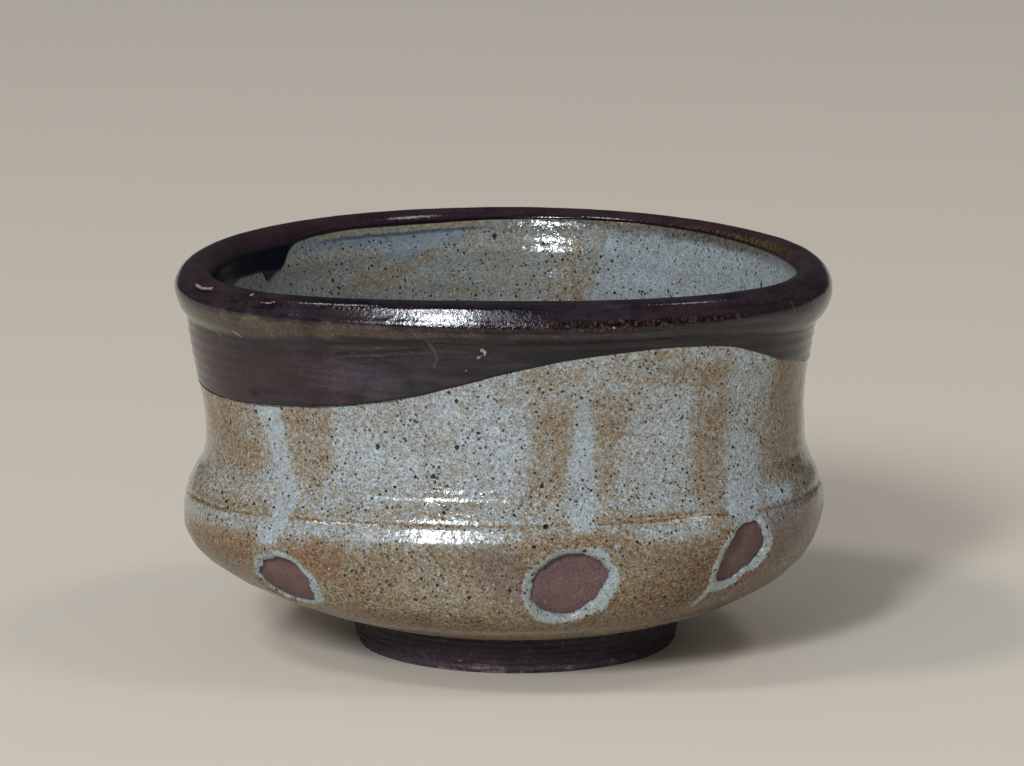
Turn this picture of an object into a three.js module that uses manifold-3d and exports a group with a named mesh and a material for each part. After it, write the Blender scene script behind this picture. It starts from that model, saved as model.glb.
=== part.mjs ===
// Shoe-shaped tea bowl (kutsu-gata chawan), in millimetres, +Z up.
// Stoneware is thrown round on the wheel, turned to a foot ring, and given a thick folded lip.
// While it is soft it is pressed out of round, so that the front wall, towards -Y, is flatter.
// A pale ash glaze covers it inside and out, and the lip is dipped in dark iron glaze.
// The origin is on the table, under the middle of the bowl's box.
import * as THREE from "three";
import { mergeVertices } from "three/addons/utils/BufferGeometryUtils.js";
import Module from "manifold-3d";

const wasm = await Module();
wasm.setup();

const { clamp, degToRad, euclideanModulo, lerp, mapLinear, radToDeg, smoothstep } = THREE.MathUtils;

// Foot ring
const FOOT_RADIUS = 34.3;
const FOOT_HEIGHT = 9;
const FOOT_FLARE = 2;
const FOOT_RING_WIDTH = 7;
const FOOT_EDGE = 0.8;

// Clay outline, from the foot up to the lip
const GLAZE_MARGIN = 1.5;
const BELLY_RADIUS = 67.2;
const BELLY_RISE = 23;
const BELLY_SPRING = 14;
const BELLY_SLOPE_DEGREES = 16;
const BELLY_FULLNESS = 13;
const WAIST_RADIUS = 62.4;
const WAIST_RISE = 13;
const WAIST_FULLNESS = 6.8;
const NECK_RADIUS = 65.2;
const NECK_RISE = 26;

// Folded lip
const LIP_OVERHANG = 3.2;
const LIP_THICKNESS = 6.6;
const LIP_DROP = 6.5;
const LIP_CROWN = 4.4;

// Clay thickness
const WALL_THICKNESS = 5.2;
const BELLY_THICKNESS = 7.6;
const FLOOR_THICKNESS = 5.5;
const FLOOR_FLAT_RADIUS = 14;

// Glazes, and the clearance that a coat or a joint keeps to the clay under it
const SEAT = 0.3;
const ASH_THICKNESS = 0.7;
const IRON_THICKNESS = 1;

// Edge of the iron glaze: angle round the bowl in degrees, and how far the edge lies under the neck
const DIP_OUTSIDE = [
  [8, 10.5],
  [45, 12],
  [80, 9.5],
  [115, 6],
  [150, 9],
  [180, 13],
  [212, 14.2],
  [236, 12.8],
  [258, 9],
  [282, 2.6],
  [306, 0.8],
  [328, 2.6],
  [348, 7.6],
];
const DIP_INSIDE = [
  [8, -9.4],
  [70, -9.8],
  [125, -9.6],
  [146, -6],
  [160, 5],
  [190, 10],
  [222, 7],
  [240, -6],
  [262, -9.4],
  [315, -9.6],
];

// Bare round spots on the lower belly: angle round the bowl, and how far they lie under its widest line
const SPOT_DIAMETER = 17;
const SPOTS = [
  [12, 7],
  [55, 8.5],
  [92, 7],
  [130, 8.5],
  [172, 7],
  [231, 8.5],
  [286, 7],
  [322, 5],
];

// How the soft bowl was pressed out of round
const PRESS_RISE = 20;
const FRONT_TO_BACK = 0.93;
const FRONT_FLATNESS = 0.17;
const TWIST_DEGREES = -5;
const FOOT_TO_RIGHT = 1.7;
const FOOT_TO_FRONT = 7.7;
const LIP_WAVE = 0.4;
const BELLY_WAVE = 0.8;
const BELLY_TILT = 1.6;

// Fineness: sides round the bowl, and steps along each stretch of the outline
const SEGMENTS = 44;
const BELLY_STEPS = 6;
const SHOULDER_STEPS = 5;
const WALL_STEPS = 3;
const LIP_UNDER_STEPS = 3;
const LIP_OVER_STEPS = 6;
const INSIDE_WALL_STEPS = 6;
const INSIDE_BOWL_STEPS = 4;
const SPOT_SEGMENTS = 20;
const MERGE_DISTANCE = 1e-4;

// Heights and radii that follow
const footTopRadius = FOOT_RADIUS + FOOT_FLARE;
const underRadius = footTopRadius + GLAZE_MARGIN;
const bellyHeight = FOOT_HEIGHT + BELLY_RISE;
const waistHeight = bellyHeight + WAIST_RISE;
const neckHeight = waistHeight + NECK_RISE;
const lipHeight = neckHeight + LIP_DROP;
const lipRadius = NECK_RADIUS + LIP_OVERHANG;
const lipHalf = LIP_THICKNESS / 2;
const lipMiddle = lipRadius - lipHalf;
const floorHeight = FOOT_HEIGHT + FLOOR_THICKNESS;

// Outline of the clay, as [radius, height] points on the thrown, still round bowl
const at = (radius, height) => new THREE.Vector2(radius, height);

function outsidePoints() {
  const slope = degToRad(BELLY_SLOPE_DEGREES);
  const belly = new THREE.CubicBezierCurve(
    at(underRadius, FOOT_HEIGHT),
    at(underRadius + BELLY_SPRING * Math.cos(slope), FOOT_HEIGHT + BELLY_SPRING * Math.sin(slope)),
    at(BELLY_RADIUS, bellyHeight - BELLY_FULLNESS),
    at(BELLY_RADIUS, bellyHeight),
  );
  const shoulder = new THREE.CubicBezierCurve(
    at(BELLY_RADIUS, bellyHeight),
    at(BELLY_RADIUS, bellyHeight + WAIST_FULLNESS),
    at(WAIST_RADIUS, waistHeight - WAIST_FULLNESS),
    at(WAIST_RADIUS, waistHeight),
  );
  const wall = new THREE.QuadraticBezierCurve(
    at(WAIST_RADIUS, waistHeight),
    at(WAIST_RADIUS, waistHeight + NECK_RISE / 2),
    at(NECK_RADIUS, neckHeight),
  );
  return joined(
    belly.getPoints(BELLY_STEPS),
    shoulder.getPoints(SHOULDER_STEPS),
    wall.getPoints(WALL_STEPS),
  );
}

function lipPoints() {
  const neckAngle = Math.acos((NECK_RADIUS - lipMiddle) / lipHalf);
  const under = new THREE.EllipseCurve(lipMiddle, lipHeight, lipHalf, LIP_DROP, -neckAngle, 0);
  const over = new THREE.EllipseCurve(lipMiddle, lipHeight, lipHalf, LIP_CROWN, 0, Math.PI);
  return joined(under.getPoints(LIP_UNDER_STEPS), over.getPoints(LIP_OVER_STEPS));
}

function insidePoints() {
  const bellyInside = at(BELLY_RADIUS - BELLY_THICKNESS, bellyHeight);
  const wall = new THREE.SplineCurve([
    at(lipMiddle - lipHalf, lipHeight),
    at(NECK_RADIUS - WALL_THICKNESS, neckHeight),
    at(WAIST_RADIUS - WALL_THICKNESS, waistHeight),
    bellyInside,
  ]);
  const bowl = new THREE.EllipseCurve(
    FLOOR_FLAT_RADIUS, bellyHeight,
    bellyInside.x - FLOOR_FLAT_RADIUS, bellyHeight - floorHeight,
    0, -Math.PI / 2, true,
  );
  return joined(wall.getPoints(INSIDE_WALL_STEPS), bowl.getPoints(INSIDE_BOWL_STEPS), [at(0, floorHeight)]);
}

// Joins stretches that start where the last one ended
function joined(...stretches) {
  const points = [];
  for (const point of stretches.flat()) {
    const last = points.at(-1);
    if (!last || last.distanceTo(point) > SEAT / 2) points.push(point);
  }
  return points;
}

// The same line, moved out of the clay by a distance square to itself
function offset(points, distance) {
  return points.map((point, i) => {
    const before = points[Math.max(i - 1, 0)];
    const after = points[Math.min(i + 1, points.length - 1)];
    const into = i > 0 ? point.clone().sub(before).normalize() : after.clone().sub(point).normalize();
    const away = i < points.length - 1 ? after.clone().sub(point).normalize() : into;
    const along = into.clone().add(away).normalize();
    const reach = distance / along.dot(into);
    return at(point.x === 0 ? 0 : point.x + along.y * reach, point.y - along.x * reach);
  });
}

// A point of the thrown bowl, moved to where the potter's hands pressed it
function press(radius, height, angle) {
  const pushed = smoothstep(height, FOOT_HEIGHT, FOOT_HEIGHT + PRESS_RISE);
  const twist = degToRad(TWIST_DEGREES) * pushed;
  const depth = lerp(1, FRONT_TO_BACK, pushed);
  const across = radius * Math.cos(angle);
  const back = radius * (depth * Math.sin(angle) - FRONT_FLATNESS * pushed * Math.cos(angle) ** 2);
  const inWave = smoothstep(height, waistHeight, lipHeight) * (radius / lipRadius);
  const bellyPart = clamp((height - FOOT_HEIGHT) / (waistHeight - FOOT_HEIGHT), 0, 1);
  const inBelly = Math.sin(Math.PI * bellyPart) ** 2 * (radius / BELLY_RADIUS);
  return new THREE.Vector3(
    lerp(FOOT_TO_RIGHT, 0, pushed) + across * Math.cos(twist) - back * Math.sin(twist),
    lerp(-FOOT_TO_FRONT, 0, pushed) + across * Math.sin(twist) + back * Math.cos(twist),
    height +
      inWave * LIP_WAVE * Math.cos(2 * angle) +
      inBelly * (BELLY_TILT * Math.cos(angle) - BELLY_WAVE * Math.cos(2 * angle)),
  );
}

// Turns an outline into a round body and presses it. The outline may change with the angle.
function thrown(outline) {
  const outlineAt = typeof outline === "function" ? outline : () => outline;
  const geometry = new THREE.LatheGeometry(outlineAt(0), SEGMENTS);
  const position = geometry.getAttribute("position");
  const count = outlineAt(0).length;
  for (let i = 0; i <= SEGMENTS; i += 1) {
    const angle = ((i % SEGMENTS) / SEGMENTS) * 2 * Math.PI;
    outlineAt(angle).forEach((point, j) => {
      const place = press(point.x, point.y, angle);
      position.setXYZ(i * count + j, place.x, place.y, place.z);
    });
  }
  return geometry;
}

function closed(points) {
  return [...points, points[0]];
}

// Drop on a closed line through [angle, drop] points, smooth all the way round
function dropAt(line, angle) {
  const [first] = line[0];
  const degrees = first + euclideanModulo(radToDeg(angle) - first, 360);
  const count = line.length;
  const next = line.findIndex(([start]) => start > degrees);
  const i = (next === -1 ? count : next) - 1;
  const start = line[i][0];
  const end = i + 1 < count ? line[i + 1][0] : first + 360;
  const t = (degrees - start) / (end - start);
  const drop = (k) => line[(k + count) % count][1];
  const change = drop(i + 1) - drop(i);
  const slopeIn = (drop(i + 1) - drop(i - 1)) / 2;
  const slopeOut = (drop(i + 2) - drop(i)) / 2;
  const square = 3 * change - 2 * slopeIn - slopeOut;
  const cube = slopeIn + slopeOut - 2 * change;
  return drop(i) + t * (slopeIn + t * (square + t * cube));
}

// Solids for joining and cutting
function toSolid(geometry) {
  const bare = new THREE.BufferGeometry();
  bare.setAttribute("position", geometry.getAttribute("position"));
  bare.setIndex(geometry.index);
  const merged = mergeVertices(bare, MERGE_DISTANCE);
  return new wasm.Manifold(
    new wasm.Mesh({
      numProp: 3,
      vertProperties: new Float32Array(merged.getAttribute("position").array),
      triVerts: new Uint32Array(merged.index.array),
    }),
  );
}

function toGeometry(solid) {
  const mesh = solid.getMesh();
  const geometry = new THREE.BufferGeometry();
  geometry.setAttribute("position", new THREE.BufferAttribute(new Float32Array(mesh.vertProperties), 3));
  geometry.setIndex(new THREE.BufferAttribute(new Uint32Array(mesh.triVerts), 1));
  geometry.computeVertexNormals();
  return geometry;
}

// Clay
const outside = outsidePoints();
const lip = lipPoints();
const inside = insidePoints();
const neckInside = inside.findIndex((point) => point.y <= neckHeight + SEAT / 2);

function clayBody() {
  return thrown([at(0, FOOT_HEIGHT), ...outside, ...inside.slice(neckInside)]);
}

function footRing() {
  const inner = FOOT_RADIUS - FOOT_RING_WIDTH;
  return thrown(
    closed([
      at(inner + FOOT_EDGE, 0),
      at(FOOT_RADIUS - FOOT_EDGE, 0),
      at(FOOT_RADIUS, FOOT_EDGE),
      at(footTopRadius, FOOT_HEIGHT),
      at(inner - FOOT_EDGE, FOOT_HEIGHT),
      at(inner, FOOT_EDGE),
    ]),
  );
}

function rimRoll() {
  const seated = (point) => at(point.x, Math.max(point.y, neckHeight + SEAT));
  return thrown(closed([...lip, ...inside.slice(1, neckInside + 1)].map(seated)));
}

// Glaze: a skin over all of the clay above the foot, parted where the iron glaze ends
function skin(thickness) {
  const surface = joined(outside, lip, inside);
  const under = offset(surface, SEAT);
  const over = offset(surface, SEAT + thickness);
  return toSolid(thrown([...under.reverse(), ...over]));
}

// Radius of the middle of the clay, between the outside and the inside
function clayMiddle(height) {
  const waist = WAIST_RADIUS - WALL_THICKNESS / 2;
  const neck = NECK_RADIUS - WALL_THICKNESS / 2;
  if (height < neckHeight) return lerp(waist, neck, (height - waistHeight) / NECK_RISE);
  return lerp(neck, lipMiddle, Math.min(1, (height - neckHeight) / LIP_DROP));
}

// Everything above the edge of the iron glaze, whose inside and outside lines meet within the clay
function dipped(clearance) {
  const near = FLOOR_FLAT_RADIUS;
  const far = lipRadius * 2;
  const high = lipHeight * 2;
  const edge = (line, angle) => neckHeight - dropAt(line, angle) - clearance;
  return toSolid(
    thrown((angle) => {
      const inner = edge(DIP_INSIDE, angle);
      const outer = edge(DIP_OUTSIDE, angle);
      return closed([
        at(near, inner),
        at(clayMiddle(inner), inner),
        at(clayMiddle(outer), outer),
        at(far, outer),
        at(far, high),
        at(near, high),
      ]);
    }),
  );
}

// Radius of the outside of the clay at a height
function radiusAt(height) {
  const i = Math.max(1, outside.findIndex((point) => point.y >= height));
  const below = outside[i - 1];
  const above = outside[i];
  return mapLinear(height, below.y, above.y, below.x, above.x);
}

function spotCutter([degrees, drop]) {
  const angle = degToRad(degrees);
  const height = bellyHeight - drop;
  const step = 0.01;
  const onBelly = (h, a) => press(radiusAt(h), h, a);
  const up = onBelly(height + step, angle).sub(onBelly(height - step, angle));
  const round = onBelly(height, angle + step).sub(onBelly(height, angle - step));
  const outward = round.cross(up).normalize();
  const radius = SPOT_DIAMETER / 2;
  const cutter = new THREE.CylinderGeometry(radius, radius, SPOT_DIAMETER, SPOT_SEGMENTS);
  const turn = new THREE.Quaternion().setFromUnitVectors(new THREE.Vector3(0, 1, 0), outward);
  const place = onBelly(height, angle);
  cutter.applyMatrix4(new THREE.Matrix4().compose(place, turn, new THREE.Vector3(1, 1, 1)));
  return toSolid(cutter);
}

function glazes() {
  const iron = skin(IRON_THICKNESS).intersect(dipped(0));
  const ash = skin(ASH_THICKNESS).subtract(dipped(SEAT));
  const lowest = (solid) => solid.boundingBox().min[2];
  const [outer, inner] = ash.decompose().sort((a, b) => lowest(a) - lowest(b));
  const spotted = SPOTS.reduce((coat, spot) => coat.subtract(spotCutter(spot)), outer);
  return { iron, inner, outer: spotted };
}

// The bowl
const glaze = glazes();
const pieces = [
  ["clay_body", clayBody(), { color: 0x6b4a42, roughness: 0.85 }],
  ["foot_ring", footRing(), { color: 0x3a2b2c, roughness: 0.9 }],
  ["rim_roll", rimRoll(), { color: 0x6b4a42, roughness: 0.85 }],
  ["iron_glaze_band", toGeometry(glaze.iron), { color: 0x3f2d30, roughness: 0.3 }],
  ["ash_glaze_outer", toGeometry(glaze.outer), { color: 0x928b7c, roughness: 0.4 }],
  ["ash_glaze_inner", toGeometry(glaze.inner), { color: 0x969a90, roughness: 0.35 }],
];

const box = new THREE.Box3();
for (const [, geometry] of pieces) {
  geometry.computeBoundingBox();
  box.union(geometry.boundingBox);
}
const middle = box.getCenter(new THREE.Vector3());

const bowl = new THREE.Group();
for (const [name, geometry, look] of pieces) {
  geometry.translate(-middle.x, -middle.y, 0);
  const mesh = new THREE.Mesh(geometry, new THREE.MeshStandardMaterial({ ...look, metalness: 0 }));
  mesh.name = name;
  bowl.add(mesh);
}

export default bowl;
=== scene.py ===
# %% [markdown]
# # A shoe-shaped tea bowl
# The bowl is stoneware. It was thrown round on a wheel, turned to a low foot, and given a thick
# folded lip. While it was soft it was pressed out of round. Then it got a speckled grey ash glaze,
# and its lip was dipped in a dark iron glaze. This lesson makes it in the same order: every piece is
# turned round first, and pressed last. The fixed frame holds the plain solids that the new pieces
# stand for.

import math

import bmesh
import bpy
import numpy as np
from mathutils import Matrix, Vector


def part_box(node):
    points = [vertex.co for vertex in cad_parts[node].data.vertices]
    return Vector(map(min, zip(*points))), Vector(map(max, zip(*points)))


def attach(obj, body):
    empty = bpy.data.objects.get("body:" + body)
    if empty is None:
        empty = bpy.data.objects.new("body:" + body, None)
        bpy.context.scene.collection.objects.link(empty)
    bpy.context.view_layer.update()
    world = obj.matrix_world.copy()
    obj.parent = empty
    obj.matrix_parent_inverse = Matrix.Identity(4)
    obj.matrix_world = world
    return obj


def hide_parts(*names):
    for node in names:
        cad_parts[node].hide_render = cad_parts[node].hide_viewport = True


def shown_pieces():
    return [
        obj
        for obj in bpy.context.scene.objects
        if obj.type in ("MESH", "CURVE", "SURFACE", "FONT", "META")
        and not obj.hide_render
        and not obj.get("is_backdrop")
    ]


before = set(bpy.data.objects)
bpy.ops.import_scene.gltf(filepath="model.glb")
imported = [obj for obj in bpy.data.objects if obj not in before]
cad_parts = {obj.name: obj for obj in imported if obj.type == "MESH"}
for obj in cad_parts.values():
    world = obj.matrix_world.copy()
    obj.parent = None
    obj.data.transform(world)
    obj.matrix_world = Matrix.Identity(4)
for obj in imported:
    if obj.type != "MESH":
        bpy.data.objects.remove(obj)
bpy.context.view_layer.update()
MM = 0.001
print("nodes", sorted(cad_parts))

# %% [markdown]
# ## The camera
# The photograph was taken from about a metre away and a little above the table. A long lens from
# that distance gives the same flat ellipses of lip and foot. The camera could be placed by eye, but
# here its place comes from fitting the bowl's outline, so it is given as numbers.

# %% Camera
EYE = (1.01, -972.15, 233.45)
LOOKING_DOWN = 10.464
LOOKING_RIGHT = 0.05
LENS = 161.72

camera = bpy.data.objects.new("camera", bpy.data.cameras.new("camera"))
bpy.context.scene.collection.objects.link(camera)
camera.location = Vector(EYE) * MM
camera.rotation_euler = (math.radians(90 - LOOKING_DOWN), 0, math.radians(-LOOKING_RIGHT))
camera.data.lens = LENS
camera.data.sensor_width = 36
bpy.context.scene.camera = camera
bpy.context.scene.view_settings.view_transform = "Standard"
print("camera at", [round(x, 3) for x in camera.location])

# %% [markdown]
# ## Colours
# Colours are written as they look on a screen, from 0 to 255. Shaders count light instead, so each
# colour is changed to linear values. This keeps the numbers easy to compare with a picture.


# %% Written colours to linear light
def paint(red, green, blue):
    shares = [c / 255 for c in (red, green, blue)]
    return (*[s / 12.92 if s <= 0.04045 else ((s + 0.055) / 1.055) ** 2.4 for s in shares], 1)


print("a written 128 is", round(paint(128, 128, 128)[0], 3), "of full light")

# %% [markdown]
# ## The table and the light
# A potter shows a pot on a plain pale table under soft lamps. A wide plane is the table. A tall
# window stands in front, to the left, and the lip and the shoulder mirror it as bright lines. The
# pale wall beside it mirrors as a dim band. Two soft suns give the faint shadows on both sides, and
# the world fills the rest. It is dimmer in mirrored light, so that the dark glaze stays dark.

# %% Table
TABLE_SIZE = 12
bpy.ops.object.select_all(action="DESELECT")
bpy.ops.mesh.primitive_plane_add(size=TABLE_SIZE, location=(0, 0, 0))
table = bpy.context.object
table.name = "table"
table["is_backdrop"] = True

table_paint = bpy.data.materials.new("table_paint")
table_paint.use_nodes = True
table_shader = table_paint.node_tree.nodes["Principled BSDF"]
table_shader.inputs["Base Color"].default_value = paint(222, 212, 195)
table_shader.inputs["Roughness"].default_value = 0.7
table.data.materials.append(table_paint)
print("table", TABLE_SIZE, "m wide")


# %% Lamps
LAMPS_AIM_AT = Vector((0, 0, 0.045))
SUN_SOFTNESS = math.radians(12)
ROOM_LIGHT, ROOM_IN_MIRRORS = 0.3, 0.045


def light(name, kind, azimuth, elevation, distance, energy):
    """A light that looks at the bowl. Azimuth 0 is in front and turns to the right."""
    turn, tilt = math.radians(azimuth), math.radians(elevation)
    level = math.cos(tilt)
    away = Vector((math.sin(turn) * level, -math.cos(turn) * level, math.sin(tilt)))
    made = bpy.data.objects.new(name, bpy.data.lights.new(name, kind))
    made.data.energy = energy
    bpy.context.scene.collection.objects.link(made)
    made.location = LAMPS_AIM_AT + away * distance
    made.rotation_euler = away.to_track_quat("Z", "Y").to_euler()
    print(name, [round(x, 2) for x in made.location], energy)
    return made.data


def pane(name, distance, energy, wide, high, colour):
    """A pane of light that stands in front, to the left."""
    made = light(name, "AREA", -22, 30, distance, energy)
    made.shape, made.size, made.size_y = "RECTANGLE", wide, high
    made.color = colour[:3]


pane("tall_window", 3, 50, 0.34, 0.72, paint(243, 248, 255))
pane("pale_wall_by_the_window", 3.1, 17, 1.7, 0.5, paint(236, 243, 255))
light("left_light", "SUN", -70, 55, 2, 0.58).angle = SUN_SOFTNESS
light("right_light", "SUN", 80, 60, 2, 0.28).angle = SUN_SOFTNESS

world = bpy.data.worlds.new("soft_room")
world.use_nodes = True
nodes, links = world.node_tree.nodes, world.node_tree.links
room = nodes["Background"]
room.inputs["Color"].default_value = paint(236, 238, 242)
rays = nodes.new("ShaderNodeLightPath")
strength = nodes.new("ShaderNodeMapRange")
strength.inputs["To Min"].default_value = ROOM_LIGHT
strength.inputs["To Max"].default_value = ROOM_IN_MIRRORS
links.new(rays.outputs["Is Glossy Ray"], strength.inputs["Value"])
links.new(strength.outputs["Result"], room.inputs["Strength"])
bpy.context.scene.world = world

# %% [markdown]
# ## The outline of the clay
# A thrown pot is round, so one line from the foot, over the lip and down to the middle of the floor
# says its whole shape. The line is given as radius and height in millimetres, with the same sizes
# as the solids. It could be drawn by hand, but curves with few numbers are easier to change.

# %% Sizes of the thrown bowl
FOOT_RADIUS, FOOT_HEIGHT, FOOT_FLARE, FOOT_RING_WIDTH, FOOT_EDGE = 34.3, 9, 2, 7, 0.8
UNDER_RADIUS, INNER_FOOT = FOOT_RADIUS + FOOT_FLARE + 1.5, FOOT_RADIUS - FOOT_RING_WIDTH
BELLY_RADIUS, BELLY_HEIGHT = 67.2, 32
WAIST_RADIUS, WAIST_HEIGHT = 62.4, 45
NECK_RADIUS, NECK_HEIGHT = 65.2, 71
LIP_MIDDLE, LIP_HEIGHT, LIP_HALF, LIP_DROP, LIP_CROWN = 65.1, 77.5, 3.3, 6.5, 4.4
WALL, BELLY_WALL, FLOOR_HEIGHT, FLOOR_FLAT = 5.2, 7.6, 14.5, 14
print("the lip's top is thrown", LIP_HEIGHT + LIP_CROWN, "mm high")


# %% Curves
def between(a, b, c, d, t):
    """A smooth way from b to c that comes from a and goes on to d."""
    return b + t / 2 * ((c - a) + t * ((2 * a - 5 * b + 4 * c - d) + t * (3 * b - a - 3 * c + d)))


def pulled(points, steps=40):
    """A curve from the first point to the last that the middle points pull out."""
    t = np.linspace(0, 1, steps + 1)[:, None]
    curve = [np.array(p, float) + 0 * t for p in points]
    while len(curve) > 1:
        curve = [a + (b - a) * t for a, b in zip(curve, curve[1:])]
    return curve[0]


def through(points, steps=20):
    """A smooth line through all of the points."""
    p = np.array([points[0], *points, points[-1]], float)
    t = np.linspace(0, 1, steps + 1)[:, None]
    return np.concatenate([between(*p[i : i + 4], t) for i in range(len(points) - 1)])


def round_line(table, degrees):
    """Value on a smooth closed line through (angle, value) pairs."""
    angles, values = np.array(table, float).T
    degrees = angles[0] + (degrees - angles[0]) % 360
    i = np.searchsorted(angles, degrees, side="right") - 1
    start, end = angles[i], np.append(angles, angles[0] + 360)[i + 1]
    four = [values[(i + k) % len(angles)] for k in (-1, 0, 1, 2)]
    return between(*four, (degrees - start) / (end - start))


def turned_from(degrees, middle):
    """Degrees away from a middle, between -180 and 180."""
    return (degrees - middle + 180) % 360 - 180


def arc(middle, across, up, start, end, steps=60):
    """Part of an ellipse, with its angles in degrees."""
    t = np.radians(np.linspace(start, end, steps + 1))
    return np.stack([middle[0] + across * np.cos(t), middle[1] + up * np.sin(t)], 1)


print("an arc of 10 mm ends at", arc((0, 0), 10, 10, 0, 90)[-1].round(2))

# %% The line itself
SPRING_ANGLE, SPRING_LENGTH, LONG_PULL, SHORT_PULL = math.radians(16), 14, 13, 6.8
spring = SPRING_LENGTH * math.cos(SPRING_ANGLE), SPRING_LENGTH * math.sin(SPRING_ANGLE)
neck_angle = math.degrees(math.acos((NECK_RADIUS - LIP_MIDDLE) / LIP_HALF))
belly_inside = (BELLY_RADIUS - BELLY_WALL, BELLY_HEIGHT)
bowl_line = np.concatenate([
    pulled([
        (UNDER_RADIUS, FOOT_HEIGHT),
        (UNDER_RADIUS + spring[0], FOOT_HEIGHT + spring[1]),
        (BELLY_RADIUS, BELLY_HEIGHT - LONG_PULL),
        (BELLY_RADIUS, BELLY_HEIGHT),
    ]),
    pulled([
        (BELLY_RADIUS, BELLY_HEIGHT),
        (BELLY_RADIUS, BELLY_HEIGHT + SHORT_PULL),
        (WAIST_RADIUS, WAIST_HEIGHT - SHORT_PULL),
        (WAIST_RADIUS, WAIST_HEIGHT),
    ]),
    pulled([
        (WAIST_RADIUS, WAIST_HEIGHT),
        (WAIST_RADIUS, WAIST_HEIGHT + LONG_PULL),
        (NECK_RADIUS, NECK_HEIGHT),
    ]),
    arc((LIP_MIDDLE, LIP_HEIGHT), LIP_HALF, LIP_DROP, -neck_angle, 0),
    arc((LIP_MIDDLE, LIP_HEIGHT), LIP_HALF, LIP_CROWN, 0, 180),
    through([
        (LIP_MIDDLE - LIP_HALF, LIP_HEIGHT),
        (NECK_RADIUS - WALL, NECK_HEIGHT),
        (WAIST_RADIUS - WALL, WAIST_HEIGHT),
        belly_inside,
    ]),
    arc(
        (FLOOR_FLAT, BELLY_HEIGHT), belly_inside[0] - FLOOR_FLAT, BELLY_HEIGHT - FLOOR_HEIGHT, 0, -90
    ),
    [(0, FLOOR_HEIGHT)],
])
print("points on the line", len(bowl_line))

# %% [markdown]
# Glaze melts and fills sharp corners, such as the crease under the lip. So the line is cut into
# short even steps and each point is set to the mean of its neighbours. Then its direction out of
# the clay is found, and any place on a glaze is a distance along the line and a distance out.

# %% Softened line
LINE_STEP = 0.1
MELT = 1.1


def evenly(line):
    gone = np.concatenate([[0], np.cumsum(np.hypot(*np.diff(line, axis=0).T))])
    places = np.arange(0, gone[-1] + LINE_STEP / 2, LINE_STEP)
    return np.stack([np.interp(places, gone, line[:, k]) for k in (0, 1)], 1)


def melted(line, spread):
    reach = round(4 * spread / LINE_STEP)
    weights = np.exp(-0.5 * (np.arange(-reach, reach + 1) * LINE_STEP / spread) ** 2)
    before = 2 * line[0] - line[reach:0:-1]
    after = 2 * line[-1] - line[-2 : -reach - 2 : -1]
    longer = np.concatenate([before, line, after])
    return np.stack([np.convolve(longer[:, k], weights / weights.sum(), "valid") for k in (0, 1)], 1)


line = melted(evenly(bowl_line), MELT)
along = np.arange(len(line)) * LINE_STEP
ahead = np.gradient(line, axis=0)
ahead /= np.hypot(*ahead.T)[:, None]
outward = np.stack([ahead[:, 1], -ahead[:, 0]], 1)
top = int(line[:, 1].argmax())


def on_bowl(distance, out):
    """Radius and height of a place at a distance along the line and out of the clay."""
    on_line = [np.interp(distance, along, line[:, k]) for k in (0, 1)]
    away = [np.interp(distance, along, outward[:, k]) for k in (0, 1)]
    return [on_line[k] + out * away[k] for k in (0, 1)]


def outside_at(height):
    return np.interp(height, line[:top, 1], along[:top])


def inside_at(height):
    return np.interp(-height, -line[top:, 1], along[top:])


print("line", round(along[-1], 1), "mm long, its top at", line[top].round(1))

# %% [markdown]
# ## Pressing
# The potter pressed the soft bowl at the front and twisted it a little, and the foot kept its place
# on the wheel. Here every vertex of a round piece is moved by one rule. A lattice could do it too,
# but the rule is the one that shaped the solids, so the new pieces fit them.

# %% The rule for pressing
PRESS_RISE, FRONT_TO_BACK, FRONT_FLATNESS, TWIST = 20, 0.93, 0.17, math.radians(-5)
FOOT_TO_RIGHT, FOOT_TO_FRONT, LIP_WAVE, BELLY_WAVE, BELLY_TILT = 1.7, 7.7, 0.4, 0.8, 1.6
foot_low, foot_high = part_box("foot_ring")
foot_middle = (foot_low + foot_high) / 2 / MM
SHIFT = (foot_middle.x - FOOT_TO_RIGHT, foot_middle.y + FOOT_TO_FRONT)


def eased(value, low, high):
    t = np.clip((value - low) / (high - low), 0, 1)
    return t * t * (3 - 2 * t)


def pressed(radius, height, angle):
    pushed = eased(height, FOOT_HEIGHT, FOOT_HEIGHT + PRESS_RISE)
    twist = TWIST * pushed
    across = radius * np.cos(angle)
    depth = 1 + (FRONT_TO_BACK - 1) * pushed
    back = radius * (depth * np.sin(angle) - FRONT_FLATNESS * pushed * np.cos(angle) ** 2)
    in_wave = eased(height, WAIST_HEIGHT, LIP_HEIGHT) * radius / (LIP_MIDDLE + LIP_HALF)
    part = np.clip((height - FOOT_HEIGHT) / (WAIST_HEIGHT - FOOT_HEIGHT), 0, 1)
    in_belly = np.sin(np.pi * part) ** 2 * radius / BELLY_RADIUS
    return np.stack([
        SHIFT[0] + FOOT_TO_RIGHT * (1 - pushed) + across * np.cos(twist) - back * np.sin(twist),
        SHIFT[1] - FOOT_TO_FRONT * (1 - pushed) + across * np.sin(twist) + back * np.cos(twist),
        height
        + in_wave * LIP_WAVE * np.cos(2 * angle)
        + in_belly * (BELLY_TILT * np.cos(angle) - BELLY_WAVE * np.cos(2 * angle)),
    ], 1)


print("the round bowl moves by", [round(s, 2) for s in SHIFT], "mm to the middle of its box")

# %% [markdown]
# The hand left smaller changes too. The crease under the lip rises in front, the lip itself sinks in
# front and rises behind, and the wall leans out at both sides. These are given as closed lines round
# the bowl and as bands of heights, and a piece gets them while it is still round.

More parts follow.
